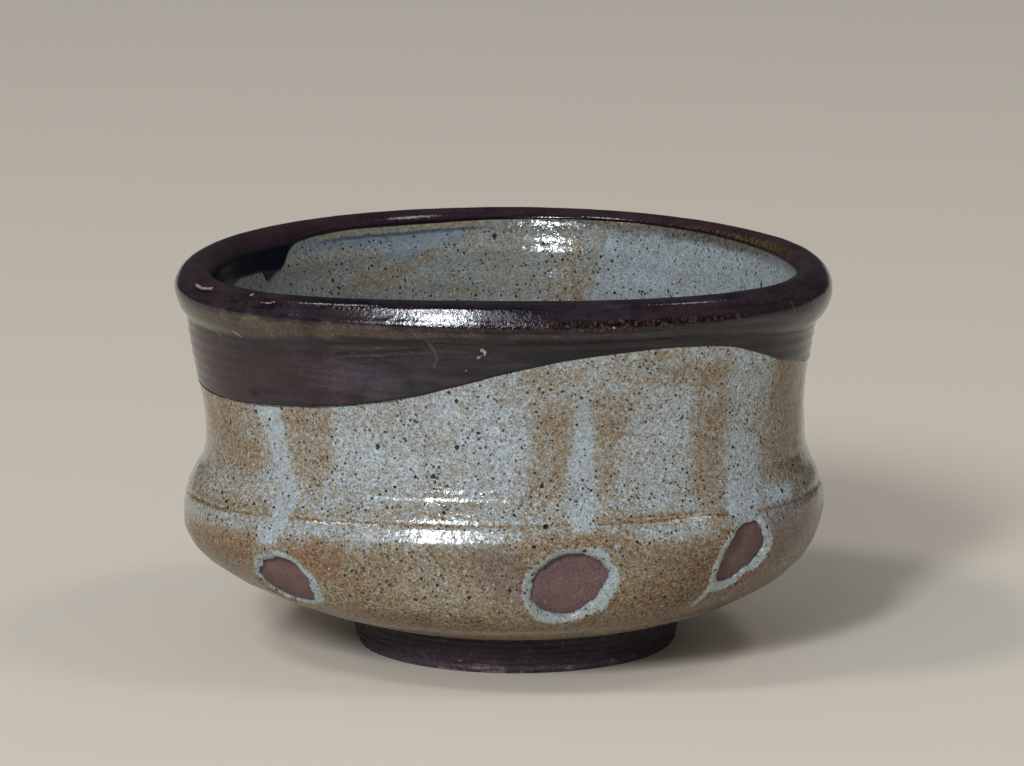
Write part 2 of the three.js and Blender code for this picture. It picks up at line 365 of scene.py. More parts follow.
# %% What the hand changed
CREASE_RISE = [
    (0, 0.6), (60, 1), (120, 2), (170, 1), (200, 1.4), (230, 1.5), (257, 3), (290, 3.1), (321, 3),
    (340, 1.4),
]
LIP_RISE = [
    (0, -0.7), (20, -0.2), (45, 0.2), (75, 0.7), (130, 0.75), (155, 0.2), (170, -0.4), (185, -1),
    (200, -1.6), (214, -2), (228, -2), (242, -1.5), (256, -1.1), (270, -0.8), (290, -0.9),
    (305, -1.1), (320, -1.2), (335, -1.3), (348, -1),
]
SHOULDER_RISE, LEFT_LEAN, RIGHT_LEAN = 1.5, 1.1, 0.5
UNDER_LIP, TOP_OF_LIP = (61, NECK_HEIGHT, 72, 77.6), (76, 81)
SHOULDER, LEFT_WALL, RIGHT_WALL = (34, 43, 43, 53), (46, 66, 67, 75), (36, 44, 46, 56)


def band(height, rises_from, rises_to, falls_from, falls_to):
    """1 within a band of heights, and 0 well under and over it."""
    return eased(height, rises_from, rises_to) * (1 - eased(height, falls_from, falls_to))


def facing(share):
    return np.clip(share, 0, 1) ** 2


def risen(height, angle):
    """Height after the crease and the lip rose or sank, and the shoulder rose at the right."""
    degrees = np.degrees(angle)
    crease = round_line(CREASE_RISE, degrees) * band(height, *UNDER_LIP)
    lip = round_line(LIP_RISE, degrees) * eased(height, *TOP_OF_LIP)
    return height + crease + lip + SHOULDER_RISE * facing(np.cos(angle)) * band(height, *SHOULDER)


def before_rising(height, angle):
    """The height that rises to this one, found step by step."""
    found = height
    for _ in range(20):
        found = found + height - risen(found, angle)
    return found


def by_hand(radius, height, angle):
    """The wall leans out a little under the lip at the left, and over the shoulder at the right."""
    left = facing(-np.cos(angle)) * band(height, *LEFT_WALL)
    right = facing(np.cos(angle)) * band(height, *RIGHT_WALL)
    return radius + LEFT_LEAN * left + RIGHT_LEAN * right, risen(height, angle), angle


print("the crease rises by up to", max(rise for _, rise in CREASE_RISE), "mm")

# %% [markdown]
# ## Turning on the wheel
# Each piece starts as a small plane whose corners are merged to one point. The point is extruded
# along the section. The section is spun by an eighth of a turn, and the eighth is copied round until
# the ring is whole, which is quicker than one full spin. A screw modifier would do the same. Here
# every vertex keeps the number of the step of the section that it came from, so the piece can be
# given its final places afterwards.

# %% Draw a section and spin it
AXIS, EIGHTH = (0, 0, 0), math.pi / 4
SAME_PLACE = MM / 500


def spun(name, section, turns, ring):
    """A section of (radius, height) points in mm, spun round. A ring's section closes on itself."""
    bpy.ops.object.select_all(action="DESELECT")
    start = section[0] * MM
    bpy.ops.mesh.primitive_plane_add(size=MM, location=(start[0], 0, start[1]))
    piece = bpy.context.object
    piece.name = piece.data.name = name
    bpy.ops.object.transform_apply(location=True, rotation=True, scale=True)
    bpy.ops.object.mode_set(mode="EDIT")
    bpy.ops.mesh.select_all(action="SELECT")
    bpy.ops.mesh.merge(type="CENTER")
    for move in np.diff(section, axis=0) * MM:
        bpy.ops.mesh.extrude_vertices_move(TRANSFORM_OT_translate={"value": (move[0], 0, move[1])})
    if ring:
        drawn = bmesh.from_edit_mesh(piece.data)
        drawn.verts.ensure_lookup_table()
        drawn.verts[0].select_set(True)
        bmesh.update_edit_mesh(piece.data)
        bpy.ops.mesh.edge_face_add()
    bpy.ops.object.mode_set(mode="OBJECT")
    steps = piece.data.attributes.new("step", "FLOAT", "POINT")
    steps.data.foreach_set("value", np.arange(len(section), dtype=np.float32))
    bpy.ops.object.mode_set(mode="EDIT")
    bpy.ops.mesh.select_all(action="SELECT")
    bpy.ops.mesh.spin(steps=turns // 8, angle=EIGHTH, center=AXIS, axis=(0, 0, 1))
    for eighths in (1, 2, 4):
        bpy.ops.mesh.select_all(action="SELECT")
        bpy.ops.mesh.duplicate()
        bpy.ops.transform.rotate(value=eighths * EIGHTH, orient_axis="Z", center_override=AXIS)
    bpy.ops.mesh.select_all(action="SELECT")
    bpy.ops.mesh.remove_doubles(threshold=SAME_PLACE)
    bpy.ops.mesh.normals_make_consistent(inside=False)
    bpy.ops.object.mode_set(mode="OBJECT")
    print(name, len(piece.data.vertices), "vertices,", len(piece.data.polygons), "faces")
    return piece


# %% Places and notes on a piece
def places(piece):
    found = np.empty(len(piece.data.vertices) * 3, np.float32)
    piece.data.vertices.foreach_get("co", found)
    return found.reshape(-1, 3).astype(float) / MM


def set_places(piece, points):
    piece.data.vertices.foreach_set("co", (points * MM).astype(np.float32).ravel())
    piece.data.update()


def section_steps(piece):
    found = np.empty(len(piece.data.vertices), np.float32)
    piece.data.attributes["step"].data.foreach_get("value", found)
    return found.round().astype(int)


def round_places(piece):
    """Radius, height and angle of every vertex, while the piece is still round."""
    x, y, z = places(piece).T
    return np.hypot(x, y), z, np.arctan2(y, x) % (2 * np.pi)


def set_round(piece, radius, height, angle):
    """Puts every vertex at a place on the thrown bowl, with what the hand changed there."""
    radius, height, angle = by_hand(radius, height, angle)
    set_places(piece, np.stack([radius * np.cos(angle), radius * np.sin(angle), height], 1))


def press_piece(piece):
    set_places(piece, pressed(*round_places(piece)))


def note(piece, **numbers):
    """Keeps numbers on every vertex, for the glaze recipes to read."""
    for name, values in numbers.items():
        kept = piece.data.attributes.new(name, "FLOAT", "POINT")
        kept.data.foreach_set("value", np.asarray(values, np.float32))


def take(*pieces):
    """Selects these objects and no others, and makes the first one active."""
    bpy.ops.object.select_all(action="DESELECT")
    for piece in pieces:
        piece.select_set(True)
    bpy.context.view_layer.objects.active = pieces[0]


# %% Small unevenness, as a hand leaves it
def roughen(piece, name, size, depth, where=None):
    """Moves the surface in and out by a cloud pattern of a size and depth in mm, and applies it."""
    take(piece)
    cloud = bpy.data.textures.new(name, "CLOUDS")
    cloud.noise_scale = size * MM
    cloud.noise_depth = 2
    bpy.ops.object.modifier_add(type="DISPLACE")
    push = piece.modifiers[-1]
    push.texture, push.texture_coords = cloud, "LOCAL"
    push.strength, push.mid_level = depth * MM, 0.5
    if where is not None:
        group = piece.vertex_groups.new(name=name)
        for share in np.unique(where.round(2)):
            chosen = np.flatnonzero(where.round(2) == share)
            group.add(chosen.tolist(), float(share), "REPLACE")
        push.vertex_group = name
    bpy.ops.object.modifier_apply(modifier=push.name)
    bpy.data.textures.remove(cloud)


SHARP_EDGE = math.radians(50)


def fired(piece, node):
    """Smooth shading, and the piece's place in the frame."""
    take(piece)
    bpy.ops.object.shade_smooth_by_angle(angle=SHARP_EDGE)
    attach(piece, "root")
    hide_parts(node)
    low, high = places(piece).min(0), places(piece).max(0)
    print(piece.name, "from", low.round(2), "to", high.round(2))


print("edges stay sharp over", round(math.degrees(SHARP_EDGE)), "degrees")

# %% [markdown]
# ## The bare spots
# Eight round spots on the lower belly stayed bare, because wax kept the glaze off them. Wax is laid
# on with a finger, so no two have the same outline. Each outline is given as a few radii round its
# middle, with 0 degrees to the right and 90 up, as seen from outside. A second line in the same way
# gives the width of the pale ring round it, where the glaze drew back and lies thick.

# %% Where the spots are
SPOT_OUTLINES = {
    "oval": [
        (7, 8.6), (28, 8.8), (52, 7.8), (82, 7), (116, 6), (159, 6.4), (192, 8.3), (215, 9.9),
        (237, 10.6), (257, 9.7), (294, 6.9), (337, 6.8),
    ],
    "drop": [
        (17, 8.2), (36, 8.9), (56, 7.4), (85, 5.6), (140, 5.2), (170, 7), (197, 9.4), (213, 11),
        (228, 11.2), (243, 9.6), (258, 7.9), (300, 5.6), (342, 5.6),
    ],
    "slanted": [
        (5, 7.6), (35, 7.4), (65, 7.1), (108, 5.8), (157, 5), (200, 6.6), (226, 9), (257, 6.5),
        (289, 4.9), (334, 5.8),
    ],
    "corner": [
        (5, 7.2), (45, 7.6), (90, 7), (135, 7.9), (180, 7.2), (225, 6.2), (270, 7.4), (315, 8.6),
    ],
}
RING_WIDTHS = {
    "oval": [
        (0, 2.1), (28, 2.1), (47, 3.2), (64, 1.9), (110, 2), (150, 2.2), (190, 2.4), (218, 2.3),
        (236, 2.9), (262, 1.2), (300, 2),
    ],
    "drop": [
        (0, 3), (30, 2.9), (70, 2.3), (110, 2), (145, 1.3), (185, 0.4), (240, 0.3), (290, 1),
        (335, 2.8),
    ],
    "slanted": [
        (0, 1.5), (45, 1.2), (90, 1.9), (140, 2.6), (185, 3), (225, 3.1), (250, 1.5), (275, 0.6),
        (310, 1),
    ],
    "corner": [(0, 1.5), (60, 1.8), (120, 1), (170, 1.5), (220, 2.3), (260, 0.5), (310, 1.6)],
}
FAR, SPOT_DEPTH = 99.0, 15
SPOTS = [
    (12, 25, "oval"), (55, 23.5, "corner"), (92, 25, "slanted"), (130, 23.5, "oval"),
    (172, 25, "corner"), (227.5, 22.4, "drop"), (284.5, 23.5, "oval"), (321.1, 27, "slanted"),
]


# %% Distances to the spots
def spot_reach(outline, turn):
    """The spot's outline with the small unevenness of a finger's edge, in mm."""
    around = np.radians(turn)
    uneven = 0.14 * np.sin(7 * around + 1) + 0.1 * np.sin(13 * around)
    return round_line(SPOT_OUTLINES[outline], turn) + (uneven + 0.07 * np.sin(22 * around + 2))


def spot_frame(degrees, height):
    """A matrix in mm whose x goes right, y up and z out of the round bowl at a spot."""
    angle = math.radians(degrees)
    distance = outside_at(height)
    radius, z = on_bowl(distance, 0)
    out_radius, out_height = (np.interp(distance, along, outward[:, k]) for k in (0, 1))
    out = Vector((out_radius * math.cos(angle), out_radius * math.sin(angle), out_height))
    out.normalize()
    right = Vector((-math.sin(angle), math.cos(angle), 0))
    matrix = Matrix((right, out.cross(right), out)).transposed().to_4x4()
    matrix.translation = (radius * math.cos(angle), radius * math.sin(angle), z)
    return matrix


def from_spots(points):
    """Distance in mm from the nearest spot's edge on the round bowl, and its ring's width there.

    Inside a spot the distance is negative."""
    nearest, width = np.full(len(points), FAR), np.zeros(len(points))
    for degrees, height, outline in SPOTS:
        back = np.array(spot_frame(degrees, height).inverted())
        local = points @ back[:3, :3].T + back[:3, 3]
        turn = np.degrees(np.arctan2(local[:, 1], local[:, 0]))
        reach = np.hypot(local[:, 0], local[:, 1]) - spot_reach(outline, turn)
        closer = (np.abs(local[:, 2]) < SPOT_DEPTH) & (reach < nearest)
        nearest = np.where(closer, reach, nearest)
        width = np.where(closer, round_line(RING_WIDTHS[outline], turn), width)
    return nearest, width


print(len(SPOTS), "bare spots")

# %% [markdown]
# ## The clay body
# The body shows in the spots and underneath. Its section goes from the middle of the base, out to
# the glaze's edge, up the outside to the crease under the lip, and down the inside. The inside is
# coarse, because glaze covers it.

# %% Clay body
TURNS = 480
BODY_STEP, INSIDE_STEP, BASE_POINTS = 0.8, 4, 34
TOOL_MARKS = 0.12
neck_out, neck_in = outside_at(NECK_HEIGHT + 0.3), inside_at(NECK_HEIGHT)


def section_of(distances, out=0.0):
    """The points of a section at distances along the line."""
    return np.stack(on_bowl(np.asarray(distances, float), out), 1)


base = np.linspace(0, UNDER_RADIUS - BODY_STEP, BASE_POINTS)
body_section = np.concatenate([
    np.stack([base, np.full(BASE_POINTS, float(FOOT_HEIGHT))], 1),
    section_of(np.arange(0, neck_out, BODY_STEP)),
    section_of(np.append(np.arange(neck_in, along[-1] - INSIDE_STEP, INSIDE_STEP), along[-1])),
])
body_section[-1, 0] = 0
clay_body = spun("thrown_clay_body", body_section, 360, ring=False)
radius, height, angle = round_places(clay_body)
turning = TOOL_MARKS * np.sin(radius * 2.6 + angle) * eased(radius, 0, 4)
in_hollow = (height < FOOT_HEIGHT + 0.2) & (radius < INNER_FOOT)
set_round(clay_body, radius, height + turning * in_hollow, angle)
press_piece(clay_body)
roughen(clay_body, "clay_grain", 1.6, 0.12)
fired(clay_body, "clay_body")

# %% [markdown]
# ## The foot ring
# The foot was cut with a turning tool when the bowl was half dry. The tool leaves fine lines and
# tears out grit, and use chips the edge. The ring is spun with rounded edges. Then the lines, the
# chips and a rough grain are moved into its outside, and the face it rests on stays flat.

# %% Foot ring
# Each chip is (angle, height, size, depth).
CHIPS = [
    (262, 0.5, 2.6, 1.0), (256, 1.6, 1.6, 0.6), (249, 0.4, 2.0, 0.8), (271, 0.3, 1.5, 0.6),
    (288, 0.9, 1.8, 0.6), (243, 0.3, 1.6, 0.7), (236, 2.2, 1.4, 0.5), (305, 0.4, 2.2, 0.8),
    (279, 0.2, 1.2, 0.5), (316, 1.2, 1.6, 0.5), (40, 0.5, 2.4, 0.9), (118, 0.8, 1.8, 0.7),
    (190, 0.4, 2.6, 1.0), (75, 0.3, 1.6, 0.6), (150, 0.4, 2.0, 0.7),
]
TOOL_LINES = 0.16
foot_section = np.concatenate([
    arc((FOOT_RADIUS - FOOT_EDGE, FOOT_EDGE), FOOT_EDGE, FOOT_EDGE, -90, 0, 8),
    pulled([
        (FOOT_RADIUS + 0.06, 1.1), (FOOT_RADIUS + 0.5, 4.5), (FOOT_RADIUS + FOOT_FLARE, FOOT_HEIGHT)
    ], 34),
    pulled([(FOOT_RADIUS + 1.2, FOOT_HEIGHT), (INNER_FOOT, FOOT_HEIGHT)], 6),
    pulled([(INNER_FOOT - FOOT_EDGE, FOOT_HEIGHT), (INNER_FOOT, 1.1)], 20),
    arc((INNER_FOOT + FOOT_EDGE, FOOT_EDGE), FOOT_EDGE, FOOT_EDGE, 180, 270, 8),
    pulled([(INNER_FOOT + 1.3, 0), (FOOT_RADIUS - 1.3, 0)], 12),
])
foot_ring = spun("turned_foot_ring", foot_section, TURNS, ring=True)
radius, height, angle = round_places(foot_ring)
off_table = height > 0.02
outer_face = eased(radius, FOOT_RADIUS - 1.2, FOOT_RADIUS - 0.3) * off_table
inner_face = eased(-radius, -INNER_FOOT - 0.6, -INNER_FOOT + 0.2) * off_table
dent = TOOL_LINES * (1 + np.sin(height * 4.4 + 0.6 * np.sin(3 * angle)))
chipped = np.zeros(len(angle))
for degrees, up, size, deep in CHIPS:
    off = turned_from(np.degrees(angle), degrees) * math.radians(1) * FOOT_RADIUS
    chipped += deep * np.exp(-((off / size) ** 2) - ((height - up) / (size * 0.6)) ** 2)
cut_in = (dent + chipped) * outer_face - 0.5 * dent * inner_face
set_round(foot_ring, radius - cut_in, height, angle)
note(foot_ring, chipped=chipped, height=height)
press_piece(foot_ring)
for name, size, depth in (("torn_clay", 2.2, 0.5), ("grit", 0.9, 0.3)):
    roughen(foot_ring, name, size, depth, np.clip(outer_face + inner_face, 0, 1))
rough_places = places(foot_ring)
rough_places[:, 2] = np.maximum(rough_places[:, 2], 0)
set_places(foot_ring, rough_places)
fired(foot_ring, "foot_ring")

# %% [markdown]
# ## The lip roll
# The lip is a thick edge of clay, folded over and outward. Glaze covers all of it, so the piece is
# a plain ring with the right outline.

# %% Lip roll
roll_section = section_of(np.linspace(neck_out, neck_in, 44))
lip_roll = spun("folded_lip_roll", roll_section, 240, ring=True)
set_round(lip_roll, *round_places(lip_roll))
press_piece(lip_roll)
fired(lip_roll, "rim_roll")

# %% [markdown]
# ## The edges of the glazes
# The lip was dipped at a slant, so the dark glaze reaches lower at the left and higher at the right,
# outside and inside. Two closed lines give how far its edge lies under the neck.

# %% Edges of the dark glaze
DIP_OUTSIDE = [
    (8, 10.5), (45, 12), (80, 9.5), (115, 6), (150, 9), (180, 13), (202, 14.5), (217, 14.5),
    (224, 14.2), (230, 13.8), (236, 13.3), (241, 12.7), (246, 12), (250, 11.2), (254, 10.4),
    (258, 9.4), (262, 8.2), (266, 6.9), (270, 5.6), (273, 4.5), (277, 3.3), (281, 2.4), (285, 1.4),
    (289, 0.7), (296, 0), (304, -0.5), (309, -0.4), (315, 0), (320, 0.7), (324, 1.8), (328, 3.1),
    (332, 4.3), (336, 5.6), (342, 6.8), (350, 8.1),
]
DIP_INSIDE = [
    (3, -8.1), (14, -8), (30, -8.4), (46, -9), (64, -9.5), (80, -9.6), (100, -9.3), (109, -9),
    (118, -8.8), (130, -8.8), (135, -8.65), (139.5, -8.3), (142.4, -7.9), (144.2, -7.6),
    (145.4, -6.9), (147.9, -5), (150.3, -3.25), (152.4, -2.4), (155.3, -1.2), (157, -3.4),
    (162, -3.4), (168, -3.4), (182, -1), (212, 0), (232, -5), (258, -9.2), (315, -9),
]


def dark_start(angle):
    """Distance along the line at which the dark glaze starts outside."""
    return outside_at(before_rising(NECK_HEIGHT - round_line(DIP_OUTSIDE, np.degrees(angle)), angle))


def dark_end(angle):
    """Distance along the line at which it ends inside."""
    return inside_at(before_rising(NECK_HEIGHT - round_line(DIP_INSIDE, np.degrees(angle)), angle))


print("outside, the dark glaze reaches", max(drop for _, drop in DIP_OUTSIDE), "mm under the neck")

# %% Coats of glaze
UNDERSIDE, EDGE_OUT, UNDER_STEPS = -0.15, -0.1, 30
ASH_OUT, IRON_OUT, OVERLAP = 0.95, 1.18, 1.2


def both_sides(*parts):
    """A coat's steps over its face and back under it, and a 1 for each one on the face."""
    over = np.concatenate(parts)
    under = np.linspace(over[-1], over[0], UNDER_STEPS)
    return np.concatenate([over, under]), np.concatenate([np.ones(len(over)), np.zeros(UNDER_STEPS)])


def coat(name, steps, knots, ring=True, turns=TURNS):
    """A round coat of even thickness. Its steps run through the knots, distances along the line."""
    shares, on_face = steps
    distances = np.interp(shares, np.arange(len(knots)), knots)
    return spun(name, section_of(distances, on_face * ASH_OUT), turns, ring)


def laid(piece, steps, knots, out_of):
    """Lays a coat between its own edges, which may change with the angle, at its own thickness."""
    step = section_steps(piece)
    _, _, angle = round_places(piece)
    share, face = (values[step] for values in steps)
    stops = np.array([knot(angle) if callable(knot) else np.full_like(angle, knot) for knot in knots])
    part = np.minimum(share.astype(int), len(knots) - 2)
    start, end = (np.take_along_axis(stops, (part + k)[None], 0)[0] for k in (0, 1))
    distance = start + (share - part) * (end - start)
    out = np.where(face > 0, out_of(distance, angle), UNDERSIDE)
    set_round(piece, *on_bowl(distance, out), angle)
    return distance, angle


def bulged(distance, width):
    """Rises from 0 at an edge to 1 at the width, as melted glaze does."""
    t = np.clip(distance / width, 0, 1)
    return np.sqrt(1 - (1 - t) ** 2)


print("the coats stand", ASH_OUT, "and", IRON_OUT, "mm out of the clay")

# %% [markdown]
# ## The ash glaze outside
# It is a coat a little under a millimetre thick. It ends in a rounded edge above the foot, and its
# upper edge runs on under the dark glaze. The section is finer at the groove that the potter cut
# round the shoulder. A flat lies under the groove and another over it, and each mirrors the window
# as one bright patch. Round the spots the coat thins to nothing behind a small raised bead, where
# melted glaze drew back from the wax.

# %% Lay the outside coat
GROOVE_HEIGHT, COARSE_STEP, FINE_STEP, EDGE_WIDTH = 35.6, 0.6, 0.3, 1.25
groove_low, groove_high = outside_at(GROOVE_HEIGHT - 5), outside_at(GROOVE_HEIGHT + 6)
waist = outside_at(WAIST_HEIGHT)
lower_steps = np.concatenate([
    [0, 0.06, 0.16, 0.32, 0.55, 0.85, EDGE_WIDTH],
    np.arange(1.8, groove_low, COARSE_STEP),
    np.arange(groove_low, groove_high, FINE_STEP),
    np.arange(groove_high, waist, COARSE_STEP),
]) / waist
outside_steps = both_sides(lower_steps, 1 + np.linspace(0, 1, 40))
outside_knots = [0, waist, lambda angle: dark_start(angle) + OVERLAP]


def over_groove(height, angle):
    """Height over the groove, which was cut by hand and wanders a little."""
    wander = 0.25 * np.sin(angle + 1) + 0.12 * np.sin(5 * angle) + 0.06 * np.sin(13 * angle)
    return height - GROOVE_HEIGHT - wander


SHOULDER_FACETS = through([
    (-14, 0), (-9.4, 0.55), (-6, 1.2), (-3.8, 0.8), (-1.9, 0.15), (0.3, -0.4), (2.4, -0.5),
    (4.4, -0.25), (6.6, 0), (8.4, 0),
])


def shoulder_relief(distance, angle):
    """The groove between two flat facets, and faint throwing lines, in mm out of the coat."""
    height = np.interp(distance, along, line[:, 1])
    above = over_groove(height, angle)
    pressed_here = 0.12 + 0.88 * eased(np.abs(np.sin(angle)), 0.2, 0.9)
    groove = -0.15 * np.exp(-((above / 0.6) ** 2))
    facets = pressed_here * np.interp(above, *SHOULDER_FACETS.T)
    rings = 0.03 * np.sin(height * 1.9 + angle) * eased(height, 12, 20)
    return groove + facets + rings


def outside_out(distance, angle):
    """The coat with its rounded lower edge."""
    edge = bulged(distance, EDGE_WIDTH)
    return EDGE_OUT + (ASH_OUT - EDGE_OUT + shoulder_relief(distance, angle)) * edge


ash_outside = coat("outside_ash_glaze", outside_steps, [0, waist, waist + 20])
laid(ash_outside, outside_steps, outside_knots, outside_out)
near_spot, _ = from_spots(places(ash_outside))
THIN, THINNED, BEAD, BEAD_PLACE, BEAD_WIDTH = 0.12, 2.2, 0.22, 2.0, 1.1


def thinned_out(distance, angle):
    """The coat as it thins towards the spots, behind a bead."""
    bead = BEAD * np.exp(-(((near_spot - BEAD_PLACE) / BEAD_WIDTH) ** 2))
    return THIN + (outside_out(distance, angle) - THIN) * bulged(near_spot, THINNED) + bead


laid(ash_outside, outside_steps, outside_knots, thinned_out)


# %% Cut the spots open
POST_RADIUS, POST_LENGTH, POST_CORNERS = 10, 14, 144


def spot_cutter(degrees, height, outline):
    """A short post with the spot's outline, standing square on the round bowl."""
    bpy.ops.object.select_all(action="DESELECT")
    bpy.ops.mesh.primitive_cylinder_add(
        vertices=POST_CORNERS, radius=POST_RADIUS * MM, depth=POST_LENGTH * MM, location=(0, 0, 0)
    )
    post = bpy.context.object
    for vertex in post.data.vertices:
        turn = math.degrees(math.atan2(vertex.co.y, vertex.co.x))
        size = float(spot_reach(outline, np.array([turn]))[0]) / POST_RADIUS
        vertex.co.x, vertex.co.y = vertex.co.x * size, vertex.co.y * size
    matrix = spot_frame(degrees, height)
    matrix.translation *= MM
    post.data.transform(matrix)
    return post


def cut(piece, cutters):
    take(*cutters)
    bpy.ops.object.join()
    take(piece)
    bpy.ops.object.modifier_add(type="BOOLEAN")
    opening = piece.modifiers[-1]
    opening.operation, opening.solver, opening.object = "DIFFERENCE", "MANIFOLD", cutters[0]
    bpy.ops.object.modifier_apply(modifier=opening.name)
    bpy.data.objects.remove(cutters[0])


before = len(ash_outside.data.polygons)
cut(ash_outside, [spot_cutter(*spot) for spot in SPOTS])
print("faces before and after the openings", before, len(ash_outside.data.polygons))

# %% [markdown]
# ## Where the ash glaze is thick or thin
# Ash glaze is pale blue-grey where it is thick and rust-brown where it is thin. Pale runs came down
# over the shoulder above each spot, with thin rusty patches beside them. Each such place is written
# as rows of (height, left angle, right angle). Every vertex then gets its distance from the nearest
# edge, in millimetres and negative inside, and the recipe turns the distances into ragged edges.
# Thin marks are written as strokes, and soft ones as clouds.


# %% Distances to the edges of patches
def from_patches(patches, height, angle, radius):
    """Distance in mm from the nearest patch. Negative inside one."""
    nearest = np.full(len(height), FAR)
    for rows in patches:
        tall, left, right = np.array(sorted(rows), float).T
        middle = (left.mean() + right.mean()) / 2
        off = turned_from(np.degrees(angle), middle)
        past_left = np.interp(height, tall, left) - middle - off
        past_right = off + middle - np.interp(height, tall, right)
        sides = np.maximum(past_left, past_right) * math.radians(1) * radius
        ends = np.maximum(tall[0] - height, height - tall[-1])
        nearest = np.minimum(nearest, np.maximum(sides, ends))
    return nearest


def from_strokes(strokes, height, angle):
    """Distance in mm from the nearest stroke: a half width, then (angle, height) places."""
    nearest = np.full(len(height), FAR)
    to_mm = math.radians(1) * NECK_RADIUS
    for half, *stops in strokes:
        for (turn, low), (next_turn, high) in zip(stops, stops[1:]):
            across, up = turned_from(np.degrees(angle), turn) * to_mm, height - low
            wide, tall = (next_turn - turn) * to_mm, high - low
            part = np.clip((across * wide + up * tall) / (wide * wide + tall * tall), 0, 1)
            away = np.hypot(across - part * wide, up - part * tall)
            nearest = np.minimum(nearest, away - half)
    return nearest


def clouded(clouds, height, angle):
    """Soft patches of (angle, half width, height, half height, strength), added up."""
    total = np.zeros(len(height))
    for middle, wide, up, tall, strength in clouds:
        off = turned_from(np.degrees(angle), middle)
        total += strength * np.exp(-((off / wide) ** 2) - ((height - up) / tall) ** 2)
    return total


square = [[(40, 10, 20), (30, 10, 20)]]
print("2 degrees past a patch is", from_patches(square, [35], np.radians([22]), 60).round(2), "mm")


# %% Patches outside
RUNS = [
    [
        (75, 219.5, 228), (56.5, 221, 228.5), (50, 224, 229.5), (44.8, 226, 230.5),
        (40, 228.3, 233), (36.8, 228.2, 233.6), (35, 229.5, 233),
    ],
    [(34.2, 226, 231.6), (30.3, 226.5, 231.6)],
    [
        (62, 288, 289.5), (58, 287, 290), (54.5, 287, 290.6), (50.8, 286.5, 290.2),
        (44, 285.4, 291), (37.8, 285, 290.6), (34, 286, 289.6),
    ],
    [(42.4, 320, 329), (38.6, 317.6, 326.6), (35, 317.5, 324.5)],
    [(39.4, 330, 339), (36.6, 328.5, 337.5)],
    [(23, 314.4, 316.8), (19, 311.8, 313.8), (16.4, 309.4, 311)],
]
PALE = [
    [(75, 242.5, 276), (57, 240.6, 279), (46, 241, 278), (41.5, 239, 279)],
    [(64, 299, 310.8), (57, 297, 310.6), (48, 295.4, 311), (42, 293, 311), (40.6, 291, 310)],
    [(40.6, 290.5, 310.5), (37.6, 291, 311)],
    [(35, 298, 313.5), (32.2, 298, 313.5)],
    [(34.4, 231.8, 243), (32.2, 231.8, 243)],
    [(34.2, 243, 285), (32.6, 244, 284)],
    [(75, 321, 331), (57, 321, 330), (42, 320, 329)],
    [(44, 197, 226), (38.5, 199, 228)],
]
RUST = [
    [(75, 229.5, 241), (57, 228.6, 240.5), (48.5, 230.2, 241.5), (42.8, 231, 239.5)],
    [(60, 281, 286.8), (51, 279, 286.4), (42, 278.5, 285.2)],
    [(61, 290.6, 299), (51, 290.6, 295.4), (42, 291.2, 294)],
    [(67, 311.5, 320), (54, 311, 320.4), (40, 310.6, 318.6), (31, 312, 318)],
    [(67, 335, 352), (50, 332, 354), (41, 329, 349)],
    [(37.5, 196, 227), (36, 196, 227)],
    [(37.0, 232, 246), (35.4, 232, 246)],
    [(37.6, 291, 312), (35.2, 291, 312)],
    [(34.4, 276, 298), (30.5, 278, 297)],
    [(32.4, 196, 226), (25, 202, 225)],
    [(32, 232, 246), (23.5, 235.5, 243)],
]
BACK_SPOTS = 5


def beside(middle, *rows):
    """A patch whose left and right angles count from the middle of a spot."""
    return [(height, middle + left, middle + right) for height, left, right in rows]


for i, (middle, _, _) in enumerate(SPOTS[:BACK_SPOTS]):
    lean = (-1) ** i
    RUNS.append(beside(middle, (68, -3, 2.4), (50, lean - 2.2, lean + 2.2), (34, -2.6, 2.8)))
    PALE.append(beside(middle, (62, 14, 26), (41, 12, 27)))
    PALE.append(beside(middle, (34.4, 6, 27), (32.2, 6, 27)))
    RUST.append(beside(middle, (64, 3.4, 12), (43, 3.4, 9)))
    RUST.append(beside(middle, (60, -10 - 2 * lean, -3.6), (42, -8, -3.2)))
    RUST.append(beside(middle, (33.5, -12, 12), (27, -11, 10)))
    RUST.append(beside(middle, (37.6, -4, 16), (35.8, -4, 16)))
print(len(RUNS), "runs,", len(PALE), "pale patches and", len(RUST), "rusty ones")

# %% Soft patches outside
MAUVE = [
    (274, 6, 24, 6, 0.9), (270, 9, 30, 4, 0.3), (330, 16, 27, 7, 1.0), (345, 14, 34, 6, 0.7),
    (304, 8, 27, 4, 0.5), (60, 18, 26, 7, 0.7), (120, 14, 27, 6, 0.5), (180, 14, 26, 6, 0.5),
    (150, 10, 24, 5, 0.5),
]
BROWN = [
    (203, 17, 52, 14, 1.2), (318, 12, 20, 8, 0.5), (219, 5, 44, 5, 0.5), (347, 12, 55, 16, 0.8),
    (338, 10, 44, 6, 0.3), (310, 10, 66, 3, 0.6), (260, 6, 53, 4, 0.45), (283, 9, 66, 3, 0.5),
    (300, 12, 19, 5, 0.7), (246, 25, 15, 4, 0.6), (283, 40, 13, 3, 0.6), (330, 20, 17, 5, 0.8),
    (204, 16, 22, 6, 0.6), (316, 8, 24, 6, 0.6), (40, 20, 55, 12, 0.6), (150, 20, 55, 12, 0.6),
    (95, 12, 48, 9, 0.5), (60, 30, 16, 5, 0.8), (150, 30, 16, 5, 0.8),
]

WORN_LINES = [(301, 9, 35.6, 6, 1), (200, 30, 35.6, 6, 0.5), (60, 60, 35.6, 6, 0.7)]
WAVE_SIZE, WAVE_DEPTH, DAB_SIZE, DAB_DEPTH = 9, 0.3, 3.5, 0.12

